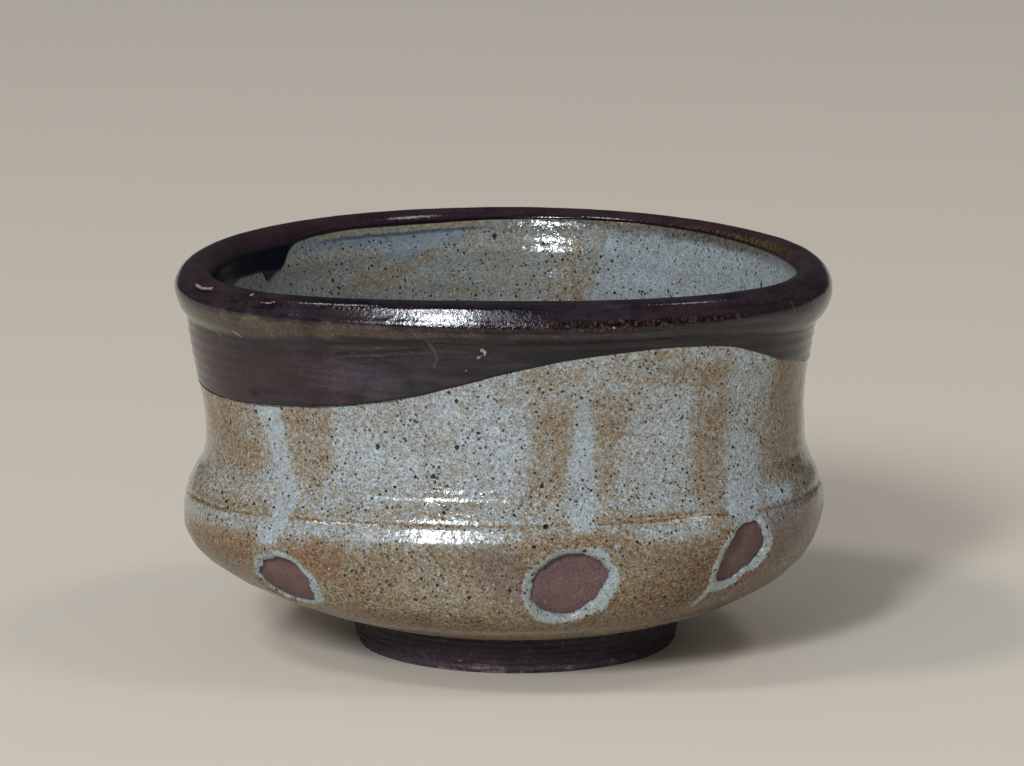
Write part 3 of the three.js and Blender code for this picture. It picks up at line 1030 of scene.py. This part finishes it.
radius, height, angle = round_places(ash_outside)
near_spot, ring_width = from_spots(places(ash_outside))
note(
    ash_outside,
    from_run=from_patches(RUNS, height, angle, radius),
    from_pale=from_patches(PALE, height, angle, radius),
    from_rust=from_patches(RUST, height, angle, radius),
    past_ring=near_spot - ring_width,
    over_groove=over_groove(height, angle),
    thrown_height=height,
    mauve=clouded(MAUVE, height, angle),
    brown=clouded(BROWN, height, angle),
    lines=clouded(WORN_LINES, height, angle),
)
press_piece(ash_outside)
roughen(ash_outside, "hand_waves", WAVE_SIZE, WAVE_DEPTH)
roughen(ash_outside, "finger_dabs", DAB_SIZE, DAB_DEPTH)
fired(ash_outside, "ash_glaze_outer")

# %% [markdown]
# ## The ash glaze inside
# The same coat covers the inside, from just under the dark lip down to the floor. Its throwing
# lines are a little deeper, because the fingers pulled the wall up from inside.

# %% Lay the inside coat
INSIDE_MIDDLE, OVERLAP_INSIDE = inside_at(56), 0.8
inside_steps = both_sides(np.linspace(2, 1, 90), np.linspace(1, 0, 44)[1:])
inside_knots = [lambda angle: dark_end(angle) - OVERLAP_INSIDE, INSIDE_MIDDLE, along[-1]]
round_inside = [along[top] + 2, INSIDE_MIDDLE, along[-1]]


def inside_out(distance, angle):
    """The coat with its throwing lines, which fade towards the lip and the middle of the floor."""
    rings = 0.12 * np.sin(distance * 0.9 + angle) * eased(along[-1] - distance, 4, 30)
    return ASH_OUT + rings * eased(distance, inside_at(76), inside_at(66))


ash_inside = coat("inside_ash_glaze", inside_steps, round_inside, ring=False)
distance, angle = laid(ash_inside, inside_steps, inside_knots, inside_out)

# %% Patches inside
INSIDE_BLUE = [
    [(84, -60, 72), (79.3, -60, 72.6), (74.9, -60, 73.7), (64.8, -60, 75.6), (14, -60, 77)],
]
INSIDE_RUST = [
    [(77.6, 101, 107), (76, 105, 112), (73, 110, 118), (70.4, 116, 126), (67, 124, 138)],
    [(77.4, 76, 80), (70, 77, 85), (56, 78, 88)],
    [(72, 200, 214), (50, 204, 220)],
]
INSIDE_STREAKS = [
    (139, 7, 78.4, 1.5, 1.1), (128, 9, 78.2, 1.7, 1.1), (116, 8, 77.4, 2.6, 0.9),
    (108, 5, 77.8, 2, 0.7), (118, 5, 73.6, 1.8, 0.5), (107, 5, 71, 1.6, 0.5), (20, 40, 60, 3, 0.5),
    (260, 30, 62, 3, 0.5),
]

CREAM = [(126, 15, 80.5, 4, 1.3), (106, 9, 80.5, 4, 0.7)]
CRUMBLY = [(45, 34, 81, 5, 1), (85, 14, 81, 5, 0.4), (320, 40, 81, 5, 0.6)]

radius, height, angle = round_places(ash_inside)
note(
    ash_inside,
    from_blue=from_patches(INSIDE_BLUE, height, angle, radius),
    from_rust=from_patches(INSIDE_RUST, height, angle, radius),
    streak=clouded(INSIDE_STREAKS, height, angle),
    from_lip=distance - dark_end(angle),
    cream=clouded(CREAM, height, angle),
    crumbly=clouded(CRUMBLY, height, angle),
)
press_piece(ash_inside)
roughen(ash_inside, "hand_waves", WAVE_SIZE, WAVE_DEPTH)
fired(ash_inside, "ash_glaze_inner")

# %% [markdown]
# ## The dark glaze on the lip
# The dark glaze lies over the lip and over the edges of the pale coats, so its own edges make a low
# rounded step. Its section has three stretches: up the outside to the crease, over the lip, and
# down the inside. Only the first and the last change with the angle. The thumb that folded the lip
# left a flat along its front, and the flat mirrors the window as one bright line.

# %% Lay the dark coat
dark_steps = both_sides(
    [0, 0.008, 0.02, 0.04, 0.07], np.linspace(0.1, 1, 26), 1 + np.linspace(0, 1, 46)[1:],
    2 + np.linspace(0, 0.9, 24)[1:], [2.93, 2.96, 2.98, 2.992, 3],
)
dark_knots = [dark_start, neck_out, along[top], dark_end]
round_dark = [waist + 12, neck_out, along[top], along[top] + 12]
LIP_FACET = through([
    (-3, 0), (-2, 0.02), (-0.9, -0.13), (0, -0.22), (0.8, -0.155), (1.6, 0.035), (2.3, 0.31),
    (3.2, 0.3), (5, 0.1), (7, 0),
])
FACET_BELOW_TOP, DARK_EDGE, DARK_BEAD, DARK_RINGS = 4.45, 0.8, 0.1, 0.05


def lip_relief(distance, angle):
    """A flat band that the thumb left on the lip in front."""
    in_front = eased(-np.sin(angle), 0.3, 0.8)
    return in_front * np.interp(distance - along[top] + FACET_BELOW_TOP, *LIP_FACET.T)


def dark_out(distance, angle):
    """The coat with its rounded edges, a bead along the lower one, throwing lines and the flat."""
    from_start, to_end = distance - dark_start(angle), dark_end(angle) - distance
    edge = bulged(from_start, DARK_EDGE) * bulged(to_end, DARK_EDGE)
    bead = DARK_BEAD * np.exp(-(((from_start - 1.0) / 0.7) ** 2))
    height = np.interp(distance, along, line[:, 1])
    rings = DARK_RINGS * np.sin(height * 3.1 + 2 * angle) * (distance < neck_out)
    return EDGE_OUT + (IRON_OUT - EDGE_OUT + bead + rings + lip_relief(distance, angle)) * edge


dark_glaze = coat("dipped_dark_glaze", dark_steps, round_dark, turns=640)
distance, angle = laid(dark_glaze, dark_steps, dark_knots, dark_out)

# %% [markdown]
# The dark glaze has soft patches of other colours, and chips, crumbs and fine scratches on the lip.
# The patches are written as clouds of (angle, half width, height, half height, strength). The
# flecks and scratches are strokes of a half width and the (angle, height) places on their way.

# %% Patches on the dark coat
MAROON = [
    (208, 24, 64, 6, 1), (240, 14, 64, 5, 0.9), (205, 30, 80, 3, 0.3), (176, 30, 81.5, 3, 0.5),
    (130, 50, 82, 3, 0.6), (95, 40, 81, 4, 0.6), (60, 30, 64, 6, 0.6), (310, 14, 79.4, 1.5, 0.7),
]
BLUE = [
    (222, 1.6, 59.6, 1.3, 1), (225.5, 1.2, 60.4, 0.9, 0.9), (246.5, 2.4, 61, 1.5, 1),
    (248, 4, 67, 1.6, 0.7), (256, 5, 64, 2.4, 0.8), (266, 6, 67, 2.2, 0.8),
    (275, 18, 80.6, 1.6, 0.7), (284, 9, 71, 1.4, 0.8), (298, 12, 71.6, 1, 0.8),
    (286, 20, 70.6, 2, 0.5), (246, 18, 80.8, 1, 0.9), (222, 8, 78.6, 1, 0.6), (130, 20, 66, 4, 0.6),
]
OLIVE = [
    (250, 11, 71, 3, 0.9), (266, 9, 73, 2.6, 0.6), (290, 20, 75.2, 1, 0.8), (350, 12, 66, 5, 0.5),
    (90, 30, 66, 4, 0.6),
]
TAN = [
    (206, 16, 73.4, 2.7, 1.1), (224, 12, 74.4, 2.1, 1.1), (243, 12, 75.4, 1.7, 0.95),
    (258, 9, 75.8, 1.3, 0.7), (350, 8, 75, 3, 0.4), (20, 20, 74, 4, 0.5), (110, 24, 75, 3, 0.7),
    (280, 20, 75.4, 0.8, 0.5),
]
FLECKS = [
    (0.12, (204, 79.9), (206, 79.75), (208, 79.7), (210, 80), (211.5, 80.1)),
    (0.14, (223.8, 80.5), (224.2, 80.5)),
    (0.02, (227.5, 79.3), (228.4, 79.6), (229.4, 79.5), (231, 80)),
    (0.16, (218.5, 72.3), (219.6, 71.9), (220.5, 71.4)),
    (0.26, (270, 72.3), (270.6, 71.9), (270.4, 71.4)), (0.2, (269.7, 70.9), (269.3, 70.5)),
    (0.06, (267.1, 67.7), (267.4, 67.8)), (0.12, (292.3, 77.2), (292.7, 77.1)),
    (0.2, (61, 75.6), (62.4, 75)), (0.25, (130.6, 67.2), (131.4, 66.6)),
]
PALE_SCRATCHES = [
    (0.25, (209.6, 72.4), (211, 71.7), (213, 70.5)), (0.2, (206, 72.6), (209, 71.6)),
    (0.1, (260.5, 74.2), (261.2, 72.8), (261.9, 71.4), (262, 70.2), (261.5, 68.5)),
    (0.12, (333, 78.6), (334, 75)), (0.12, (341, 78.4), (342, 74.6)),
]
BLACK_SCRATCHES = [
    (0.2, (241, 72.2), (252, 73.2), (260.5, 74)), (0.25, (243, 70.2), (252, 71.2), (259.5, 71.9)),
    (0.15, (244.6, 68.9), (258.2, 70.6)), (0.3, (276, 74.3), (284, 74.1), (292, 74.1)),
    (0.2, (292, 73.9), (310, 74.2)), (0.2, (287, 71.7), (300, 72.1)),
    (0.12, (205, 79.3), (211, 79.3)), (0.1, (228, 79), (233, 79.6)),
    (0.1, (226, 78.3), (231, 78.9)),
]
CRUMBS = [
    (292, 30, 77.4, 1.3, 1.1), (250, 22, 80.2, 0.8, 0.7), (222, 9, 79, 1.2, 0.5),
    (60, 60, 77, 2, 0.6),
]
INNER_CRUMBS = [(48, 36, 81.5, 3, 1), (330, 40, 81.5, 3, 0.6)]
LAVENDER = [(248, 15, 65, 5, 0.9), (226, 4, 77.6, 1.2, 0.5)]
INKY = [(160, 24, 76, 6, 1), (195, 30, 74, 7, 1)]
print(len(FLECKS), "flecks and", len(PALE_SCRATCHES + BLACK_SCRATCHES), "scratches")

# %% Keep them on the dark coat
DARK_WAVE_DEPTH, INSIDE_RIM, OTHER_SIDE = 0.14, 82.5, 20
radius, height, angle = round_places(dark_glaze)
outside = distance < along[top]
inside = ~outside


def clouds_on(side, clouds):
    return clouded(clouds, height, angle) * side


def strokes_outside(strokes):
    return from_strokes(strokes, height, angle) + 9 * inside


note(
    dark_glaze,
    maroon=clouds_on(outside, MAROON) + 0.6 * inside,
    blue=clouds_on(outside, BLUE),
    olive=clouds_on(outside, OLIVE),
    tan=clouds_on(outside, TAN),
    lavender=clouds_on(outside, LAVENDER),
    inky=clouds_on(inside, INKY),
    depth_inside=np.where(outside, -OTHER_SIDE, INSIDE_RIM - height),
    from_edge=np.minimum(distance - dark_start(angle), dark_end(angle) - distance),
    over_crease=np.where(outside, distance - outside_at(NECK_HEIGHT), OTHER_SIDE),
    from_fleck=strokes_outside(FLECKS),
    from_pale_scratch=strokes_outside(PALE_SCRATCHES),
    from_black_scratch=strokes_outside(BLACK_SCRATCHES),
    crumbs=clouds_on(outside, CRUMBS),
    inner_crumbs=clouds_on(inside, INNER_CRUMBS),
)
press_piece(dark_glaze)
roughen(dark_glaze, "hand_waves", WAVE_SIZE, DARK_WAVE_DEPTH)
fired(dark_glaze, "iron_glaze_band")

# %% [markdown]
# ## Recipes
# A recipe is a material. Its nodes do sums with numbers, so a small helper lets a line of Python
# write them: two washes can be added or multiplied, and each sum becomes a Math node. The patterns
# read Object coordinates, in metres, so a size in millimetres is the real size on the bowl.


# %% Washes and recipes
class Wash:
    """A number that changes over the surface."""

    def __init__(self, recipe, socket):
        self.recipe, self.socket = recipe, socket

    def __add__(self, other):
        return self.recipe.sum_of("ADD", self, other)

    def __sub__(self, other):
        return self.recipe.sum_of("SUBTRACT", self, other)

    def __rsub__(self, other):
        return self.recipe.sum_of("SUBTRACT", other, self)

    def __mul__(self, other):
        return self.recipe.sum_of("MULTIPLY", self, other)

    __radd__, __rmul__ = __add__, __mul__

    def steps(self, low, high):
        """0 below low, 1 above high and smooth between. With low above high it falls."""
        inputs = {"Value": self, "From Min": low, "From Max": high}
        node = self.recipe.node("ShaderNodeMapRange", inputs, interpolation_type="SMOOTHSTEP")
        return Wash(self.recipe, node.outputs["Result"])

    def within(self, low, full, fading, high):
        """0 below low, 1 from full to fading, and 0 above high."""
        return self.steps(low, full) * self.steps(high, fading)


# %% Recipes
class Recipe:
    """A material whose nodes are written as sums of washes."""

    def __init__(self, name):
        self.material = bpy.data.materials.new(name)
        self.material.use_nodes = True
        self.tree = self.material.node_tree
        self.shader = self.tree.nodes["Principled BSDF"]
        self.place = self.node("ShaderNodeTexCoord", {}).outputs["Object"]

    def node(self, kind, inputs, **settings):
        made = self.tree.nodes.new(kind)
        for name, value in settings.items():
            setattr(made, name, value)
        for name, value in inputs.items():
            self.join(made.inputs[name], value)
        return made

    def join(self, socket, value):
        source = value.socket if isinstance(value, Wash) else value
        if isinstance(source, bpy.types.NodeSocket):
            self.tree.links.new(source, socket)
        else:
            socket.default_value = source

    def sum_of(self, operation, first, second):
        node = self.node("ShaderNodeMath", {0: first, 1: second}, operation=operation)
        return Wash(self, node.outputs[0])

    def noted(self, name):
        """A number kept on the vertices."""
        node = self.node("ShaderNodeAttribute", {}, attribute_type="GEOMETRY", attribute_name=name)
        return Wash(self, node.outputs["Fac"])

    def stretched(self, stretch, turn=(0, 0, 0)):
        """Object coordinates, longer along the directions whose number is smaller, then turned."""
        inputs = {"Vector": self.place, "Scale": stretch, "Rotation": turn}
        return self.node("ShaderNodeMapping", inputs).outputs["Vector"]

    def grain(self, size, detail=3, rough=0.55, stretch=None):
        """Clouds of a size in mm, from about -1 to 1."""
        place = self.stretched(stretch) if stretch else self.place
        inputs = {"Vector": place, "Scale": 1 / (size * MM), "Detail": detail, "Roughness": rough}
        return (Wash(self, self.node("ShaderNodeTexNoise", inputs).outputs["Fac"]) - 0.5) * 3

    def specks(self, cell, largest, share=1.0, stretch=None, more=1.0):
        """Round specks in cells of a size in mm, each with its own radius up to the largest."""
        place = self.stretched(stretch or (1, 1, 1), (0.6, 0.5, 0.4))
        cells = self.node("ShaderNodeTexVoronoi", {"Vector": place, "Scale": 1 / (cell * MM)})
        tint = self.node("ShaderNodeSeparateColor", {"Color": cells.outputs["Color"]})
        chance = Wash(self, tint.outputs["Red"])
        reach = (chance - (1 - share)) * (largest / cell / share) * more
        shape = self.grain(largest, 1, 0.5) * (0.32 * largest / cell)
        return (reach + shape - Wash(self, cells.outputs["Distance"])).steps(0, 0.08 / cell)

    def ramp(self, value, stops):
        """A colour for every value, through stops of (value, red, green, blue)."""
        node = self.node("ShaderNodeValToRGB", {"Fac": value})
        while len(node.color_ramp.elements) < len(stops):
            node.color_ramp.elements.new(1)
        for element, (position, *colour) in zip(node.color_ramp.elements, stops):
            element.position, element.color = position, paint(*colour)
        return node.outputs["Color"]

    def layered(self, colour, *layers):
        """A colour under layers of (paint, share)."""
        for layer, share in layers:
            mix = self.node("ShaderNodeMix", {0: share, 6: colour, 7: layer}, data_type="RGBA")
            colour = mix.outputs[2]
        return colour

    def finish(self, colour, roughness, relief, depth, gloss=1.5):
        """Colour, roughness, relief with a depth in mm, and gloss, which is the glaze's IOR."""
        self.shader.inputs["IOR"].default_value = gloss
        self.join(self.shader.inputs["Base Color"], colour)
        self.join(self.shader.inputs["Roughness"], roughness)
        inputs = {"Height": relief, "Distance": depth * MM, "Strength": 1.0}
        bump = self.node("ShaderNodeBump", inputs)
        self.join(self.shader.inputs["Normal"], bump.outputs["Normal"])


def coloured(piece, recipe):
    piece.data.materials.clear()
    piece.data.materials.append(recipe.material)
    print(piece.name, "has", recipe.material.name, "with", len(recipe.tree.nodes), "nodes")


print("a grain of 1 mm comes", round(1 / MM), "times in a metre")

# %% [markdown]
# ## The ash glaze's colour
# One number stands for how thick the glaze lies: a fine grain, slow clouds, and the patches add to
# it or take from it. A ramp turns it into rust, tan, grey and pale blue. Iron specks from the clay
# burn through as black dots, large and small.

# %% Ash glaze
ASH_COLOURS = [
    (0.0, 50, 38, 30), (0.2, 98, 74, 50), (0.37, 124, 104, 78), (0.53, 132, 126, 109),
    (0.7, 145, 153, 156), (1.0, 180, 194, 203),
]
IRON_BLACK = paint(22, 17, 16)


def ash_colour(recipe, thickness, grainy, tints):
    """The glaze's colours under a grain, then tints of (paint, share), then iron specks and blots."""
    salt = recipe.grain(0.42, 2, 0.75) * 0.46 + recipe.grain(0.9, 3, 0.7) * 0.32
    crowd = recipe.grain(7, 2, 0.5) * 0.35 + 1
    return recipe.layered(
        recipe.ramp(thickness + salt * grainy, ASH_COLOURS),
        *tints,
        (paint(62, 48, 38), recipe.specks(0.55, 0.24, 0.7) * 0.6),
        (paint(208, 202, 184), recipe.specks(0.9, 0.24, 0.25) * 0.6),
        (IRON_BLACK, recipe.specks(0.85, 0.36, 0.7, more=crowd) * 0.85),
        (IRON_BLACK, recipe.specks(1.9, 0.48, 0.45, more=crowd) * 0.95),
        (IRON_BLACK, recipe.specks(4.4, 0.85, 0.3, stretch=(1, 1, 0.7)) * 0.95),
    )


def ash_clouds(recipe):
    return recipe.grain(15, 3, 0.5) * 0.09 + recipe.grain(5, 3, 0.6) * 0.09


def ash_relief(recipe):
    """The skin of a glaze, like an orange's, with a finer one on it."""
    return recipe.grain(1.3, 2, 0.5) * 0.5 + recipe.grain(0.5, 2, 0.6) * 0.1


print(len(ASH_COLOURS), "colours from thin glaze to thick")

# %% Ash glaze outside
ash = Recipe("speckled_ash_glaze_outside")
ragged = ash.grain(2.6, 5, 0.8) * 1.3
clouds = ash_clouds(ash)
run = (ash.noted("from_run") + ragged * 0.6).steps(0.7, -0.7)
pale = (ash.noted("from_pale") + ragged * 1.5).steps(2.4, -2.4)
rust = (ash.noted("from_rust") + ragged * 1.5).steps(2.4, -2.4)
ring = (ash.noted("past_ring") + ragged * 0.6 + ash.grain(0.7, 3, 0.7) * 0.5).steps(0.3, -0.3)
brown = (ash.noted("brown") + clouds).steps(0, 1)
up = ash.noted("thrown_height")
belly = (up + ragged * 0.8).steps(33.6, 29.6)
foot_band = (up + ragged * 0.3).steps(13.2, 12.4)
over = ash.noted("over_groove") + ragged * 0.15
lines = ash.noted("lines")
worn = (clouds * 6 + 0.7).steps(0.1, 0.8)
groove = over.within(-0.5, -0.12, 0.1, 0.42) * worn
second = (over - 1.0).within(-0.45, -0.1, 0.1, 0.45) * lines
blotchy = rust * (0.75 + ash.grain(2.2, 3, 0.6) * 0.5)
plain = (1 - ring) * (1 - run)
mauve = (ash.noted("mauve") + clouds * 2).steps(0.15, 0.9) * plain
print("its notes are", [a.name for a in ash_outside.data.attributes if a.data_type == "FLOAT"])

# %% How thick it lies, and its colours
thick = 0.6 + clouds - belly * 0.17 + pale * 0.07 - blotchy * 0.15 - brown * 0.2
thick = thick + belly * pale * 0.2 - second * 0.25 * worn - groove * (0.2 + lines * 0.15)
thick = thick * (1 - run) + run * (0.7 + clouds * 0.5)
thick = thick * (1 - ring) + ring * (0.7 + clouds)
colour = ash_colour(ash, thick, 1 - run * 0.3, [
    (paint(122, 82, 54), blotchy * (belly * 0.3 + 0.07) * plain),
    (paint(134, 146, 142), ring * 0.35),
    (paint(88, 60, 58), mauve * 0.5),
    (paint(146, 133, 106), foot_band * 0.7),
])
shine = 0.09 + ash.grain(1.6, 2) * 0.03 + belly * 0.18
ash.finish(colour, shine, ash_relief(ash), 0.08, gloss=1.42)
coloured(ash_outside, ash)

# %% Ash glaze inside
inner = Recipe("speckled_ash_glaze_inside")
ragged = inner.grain(3, 4, 0.75) * 1.2
clouds = ash_clouds(inner)
blue = (inner.noted("from_blue") + ragged * 0.3).steps(0.25, -0.25)
rust = (inner.noted("from_rust") + ragged * 1.4).steps(2, -2)
streak = (inner.noted("streak") + ragged * 0.12).steps(0.2, 0.75)
thick = 0.55 + clouds + blue * 0.1 + streak * 0.06 - rust * 0.1
colour = ash_colour(inner, thick, 1 - streak * 0.4, [
    (paint(108, 116, 110), (1 - blue) * (1 - streak) * (1 - rust * 0.6) * 0.4),
    (paint(88, 112, 126), streak * 0.5),
    (paint(112, 130, 138), blue * 0.35),
])
lip_side = inner.noted("from_lip")
cream_place = (inner.noted("cream") + clouds * 3).steps(0.3, 0.9)
cream = (lip_side + ragged * 0.4).steps(0.8, 0.3) * cream_place
dark_line = (lip_side + ragged * 0.3).within(0.5, 0.9, 1.0, 1.6) * cream_place
crumbly = inner.noted("crumbly") * (lip_side + ragged * 0.9).steps(2.4, 0.6)
crumbs = inner.grain(0.9, 3, 0.7)
colour = inner.layered(
    colour,
    (paint(44, 52, 62), dark_line * 0.7),
    (inner.ramp(0.5 + crumbs * 0.4, [(0.2, 92, 78, 56), (0.8, 156, 148, 122)]), cream * 0.8),
    (inner.ramp(0.5 + crumbs * 0.5, [(0.3, 24, 17, 15), (0.75, 98, 76, 50)]), crumbly * 0.85),
)
inner.finish(colour, 0.1 + inner.grain(1.6, 2) * 0.03, ash_relief(inner), 0.1)
coloured(ash_inside, inner)

# %% [markdown]
# ## The dark glaze's colour
# Iron glaze is never one black. It goes maroon where it is thin, blue-black where it is thick, and
# olive where ash from the pale glaze melts into it. Throwing lines under it draw it into level
# streaks, so its clouds are stretched sideways.

# %% Dark glaze
dark = Recipe("dark_iron_glaze")
level = (1, 1, 9)
streaks = dark.grain(9, 4, 0.6, stretch=level)
threads = dark.grain(4, 4, 0.65, stretch=level)
clouds = dark.grain(6, 4, 0.65)
fine = dark.grain(0.6, 3, 0.65)
above = dark.noted("over_crease")
maroon = (dark.noted("maroon") + streaks * 0.2 + clouds * 0.2).steps(0.15, 0.85)
olive = (dark.noted("olive") + streaks * 0.45).steps(0.35, 0.8)
tan = (dark.noted("tan") + clouds * 0.35 + streaks * 0.2).steps(0.3, 0.85) * above.steps(-0.5, 0.4)
blue = (dark.noted("blue") + clouds * 0.6 + fine * 0.3).steps(0.35, 1.05)
lavender = (dark.noted("lavender") + clouds * 0.35 + streaks * 0.2).steps(0.35, 0.9)
# Painted shade: the crease mask darkens the glaze in a band along the crease under the lip, where the
# lip roll shades it.
crease = (above + threads * 0.3).within(-1.4, -0.3, 0.1, 1.0)
depth = dark.noted("depth_inside")
inky = (dark.noted("inky") + clouds * 0.1).steps(0.25, 0.6) * depth.steps(2.2, 3.6)
edge = (dark.noted("from_edge") + fine * 0.1).steps(1.15, 0.6)
print("streaks are", level[2], "times wider than high")

# %% Paints of the dark glaze
ground_paint = dark.ramp(0.5 + streaks * 0.22 + clouds * 0.2 + fine * 0.14, [
    (0.15, 12, 10, 13), (0.42, 32, 26, 31), (0.68, 52, 43, 48), (0.95, 80, 68, 68),
])
maroon_paint = dark.ramp(0.5 + fine * 0.28 + streaks * 0.12 + clouds * 0.14, [
    (0.15, 28, 17, 23), (0.85, 66, 44, 48),
])
olive_paint = dark.ramp(0.5 + threads * 0.4 + fine * 0.2, [
    (0.15, 18, 16, 20), (0.5, 46, 41, 38), (0.85, 80, 72, 58),
])
tan_paint = dark.ramp(0.5 + fine * 0.34 + clouds * 0.24, [
    (0.15, 28, 22, 22), (0.5, 70, 60, 49), (0.85, 112, 99, 75),
])
lavender_paint = dark.ramp(0.5 + fine * 0.3 + streaks * 0.2, [(0.15, 34, 30, 40), (0.8, 90, 84, 98)])
inky_paint = dark.ramp(0.5 + clouds * 0.4, [(0.2, 2, 3, 8), (0.8, 5, 14, 28)])
crumb_paint = dark.ramp(0.5 + dark.grain(0.8, 3, 0.75) * 0.7, [
    (0.3, 8, 6, 9), (0.6, 42, 28, 28), (0.85, 96, 72, 54),
])
inner_paint = dark.ramp(0.5 + dark.grain(0.9, 3, 0.7) * 0.5, [(0.3, 14, 10, 10), (0.75, 96, 76, 50)])
print("nodes so far", len(dark.tree.nodes))

# %% Marks on the dark glaze, and its layers
scratch = (dark.noted("from_black_scratch") + fine * 0.25 + threads * 0.2).steps(0.35, -0.1)
scratched = (dark.noted("from_pale_scratch") + fine * 0.2).steps(0.35, -0.05)
round_fleck = (dark.noted("from_fleck") + fine * 0.4).steps(0.8, 0.3)
fleck = (dark.noted("from_fleck") + fine * 0.3).steps(0.2, -0.1)
crumbs = (dark.noted("crumbs") + clouds * 0.3).steps(0.3, 0.75)
inner_crumbs = (dark.noted("inner_crumbs") + clouds * 0.3).steps(0.4, 0.8) * depth.steps(0.1, 0.8)
colour = dark.layered(
    ground_paint,
    (maroon_paint, maroon * 0.85),
    (olive_paint, olive * 0.85),
    (tan_paint, tan * 0.85),
    (paint(13, 12, 20), blue * 0.9),
    (lavender_paint, lavender * 0.42),
    # painted shade in the crease under the lip
    (paint(13, 10, 15), crease * 0.55),
    (paint(9, 8, 12), scratch * 0.8),
    (crumb_paint, crumbs * 0.85),
    (paint(9, 6, 8), dark.specks(0.8, 0.42, 0.8) * crumbs),
    (inner_paint, inner_crumbs * 0.9),
    (inky_paint, inky),
    (paint(14, 10, 14), edge * 0.85),
    (paint(98, 90, 78), scratched * 0.5),
    (paint(18, 11, 14), round_fleck * 0.5),
    (paint(168, 148, 136), fleck * 0.9),
)
shine = 0.085 + clouds * 0.02 + tan * 0.07 + olive * 0.08 + fleck * 0.4
relief = dark.grain(1.2, 3, 0.55) * 0.5 + fine * 0.08 + crumbs * fine * 0.4
dark.finish(colour, shine, relief, 0.05, gloss=1.42)
coloured(dark_glaze, dark)

# %% [markdown]
# ## Bare clay
# Bare stoneware is matte. In the spots it is purple-brown with fine grit. The foot is darker and
# rougher, with lines from the turning tool.

# %% Clay colours
clay = Recipe("bare_stoneware")
grit = clay.grain(0.5, 3, 0.65)
slow = clay.grain(4, 3, 0.5)
colour = clay.layered(
    clay.ramp(0.5 + grit * 0.24 + slow * 0.16, [
        (0.15, 60, 44, 45), (0.5, 97, 74, 72), (0.85, 132, 102, 97),
    ]),
    (paint(54, 36, 38), clay.specks(0.9, 0.3, 0.5) * 0.7),
    (paint(176, 138, 124), clay.specks(1.1, 0.24, 0.3) * 0.6),
)
clay.finish(colour, 0.75 + grit * 0.06, grit * 0.5 + slow * 0.3, 0.16)
coloured(clay_body, clay)
coloured(lip_roll, clay)

# %% Foot colours
foot = Recipe("turned_stoneware")
grit = foot.grain(0.7, 4, 0.7)
lines = foot.grain(5, 3, 0.6, stretch=(1, 1, 8))
slow = foot.grain(6, 3, 0.5)
chipped = (foot.noted("chipped") + grit * 0.15).steps(0.15, 0.5)
worn = chipped + (foot.noted("height") + grit * 0.6 + slow).steps(2.8, 0.6) * 0.8
colour = foot.layered(
    foot.ramp(0.42 + grit * 0.3 + lines * 0.12 + slow * 0.12 + worn * 0.2, [
        (0.15, 21, 13, 21), (0.45, 47, 34, 45), (0.7, 84, 67, 78), (0.95, 146, 126, 132),
    ]),
    (paint(140, 114, 104), foot.specks(1.5, 0.36, 0.4) * 0.6),
)
foot.finish(colour, 0.62 + grit * 0.1, grit * 0.5 + lines * 0.4, 0.25)
coloured(foot_ring, foot)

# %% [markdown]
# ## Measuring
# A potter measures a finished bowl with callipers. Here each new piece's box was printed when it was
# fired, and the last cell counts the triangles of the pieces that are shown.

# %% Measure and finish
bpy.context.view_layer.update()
triangles = sum(len(f.vertices) - 2 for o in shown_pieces() for f in o.data.polygons)
print("triangles", triangles)
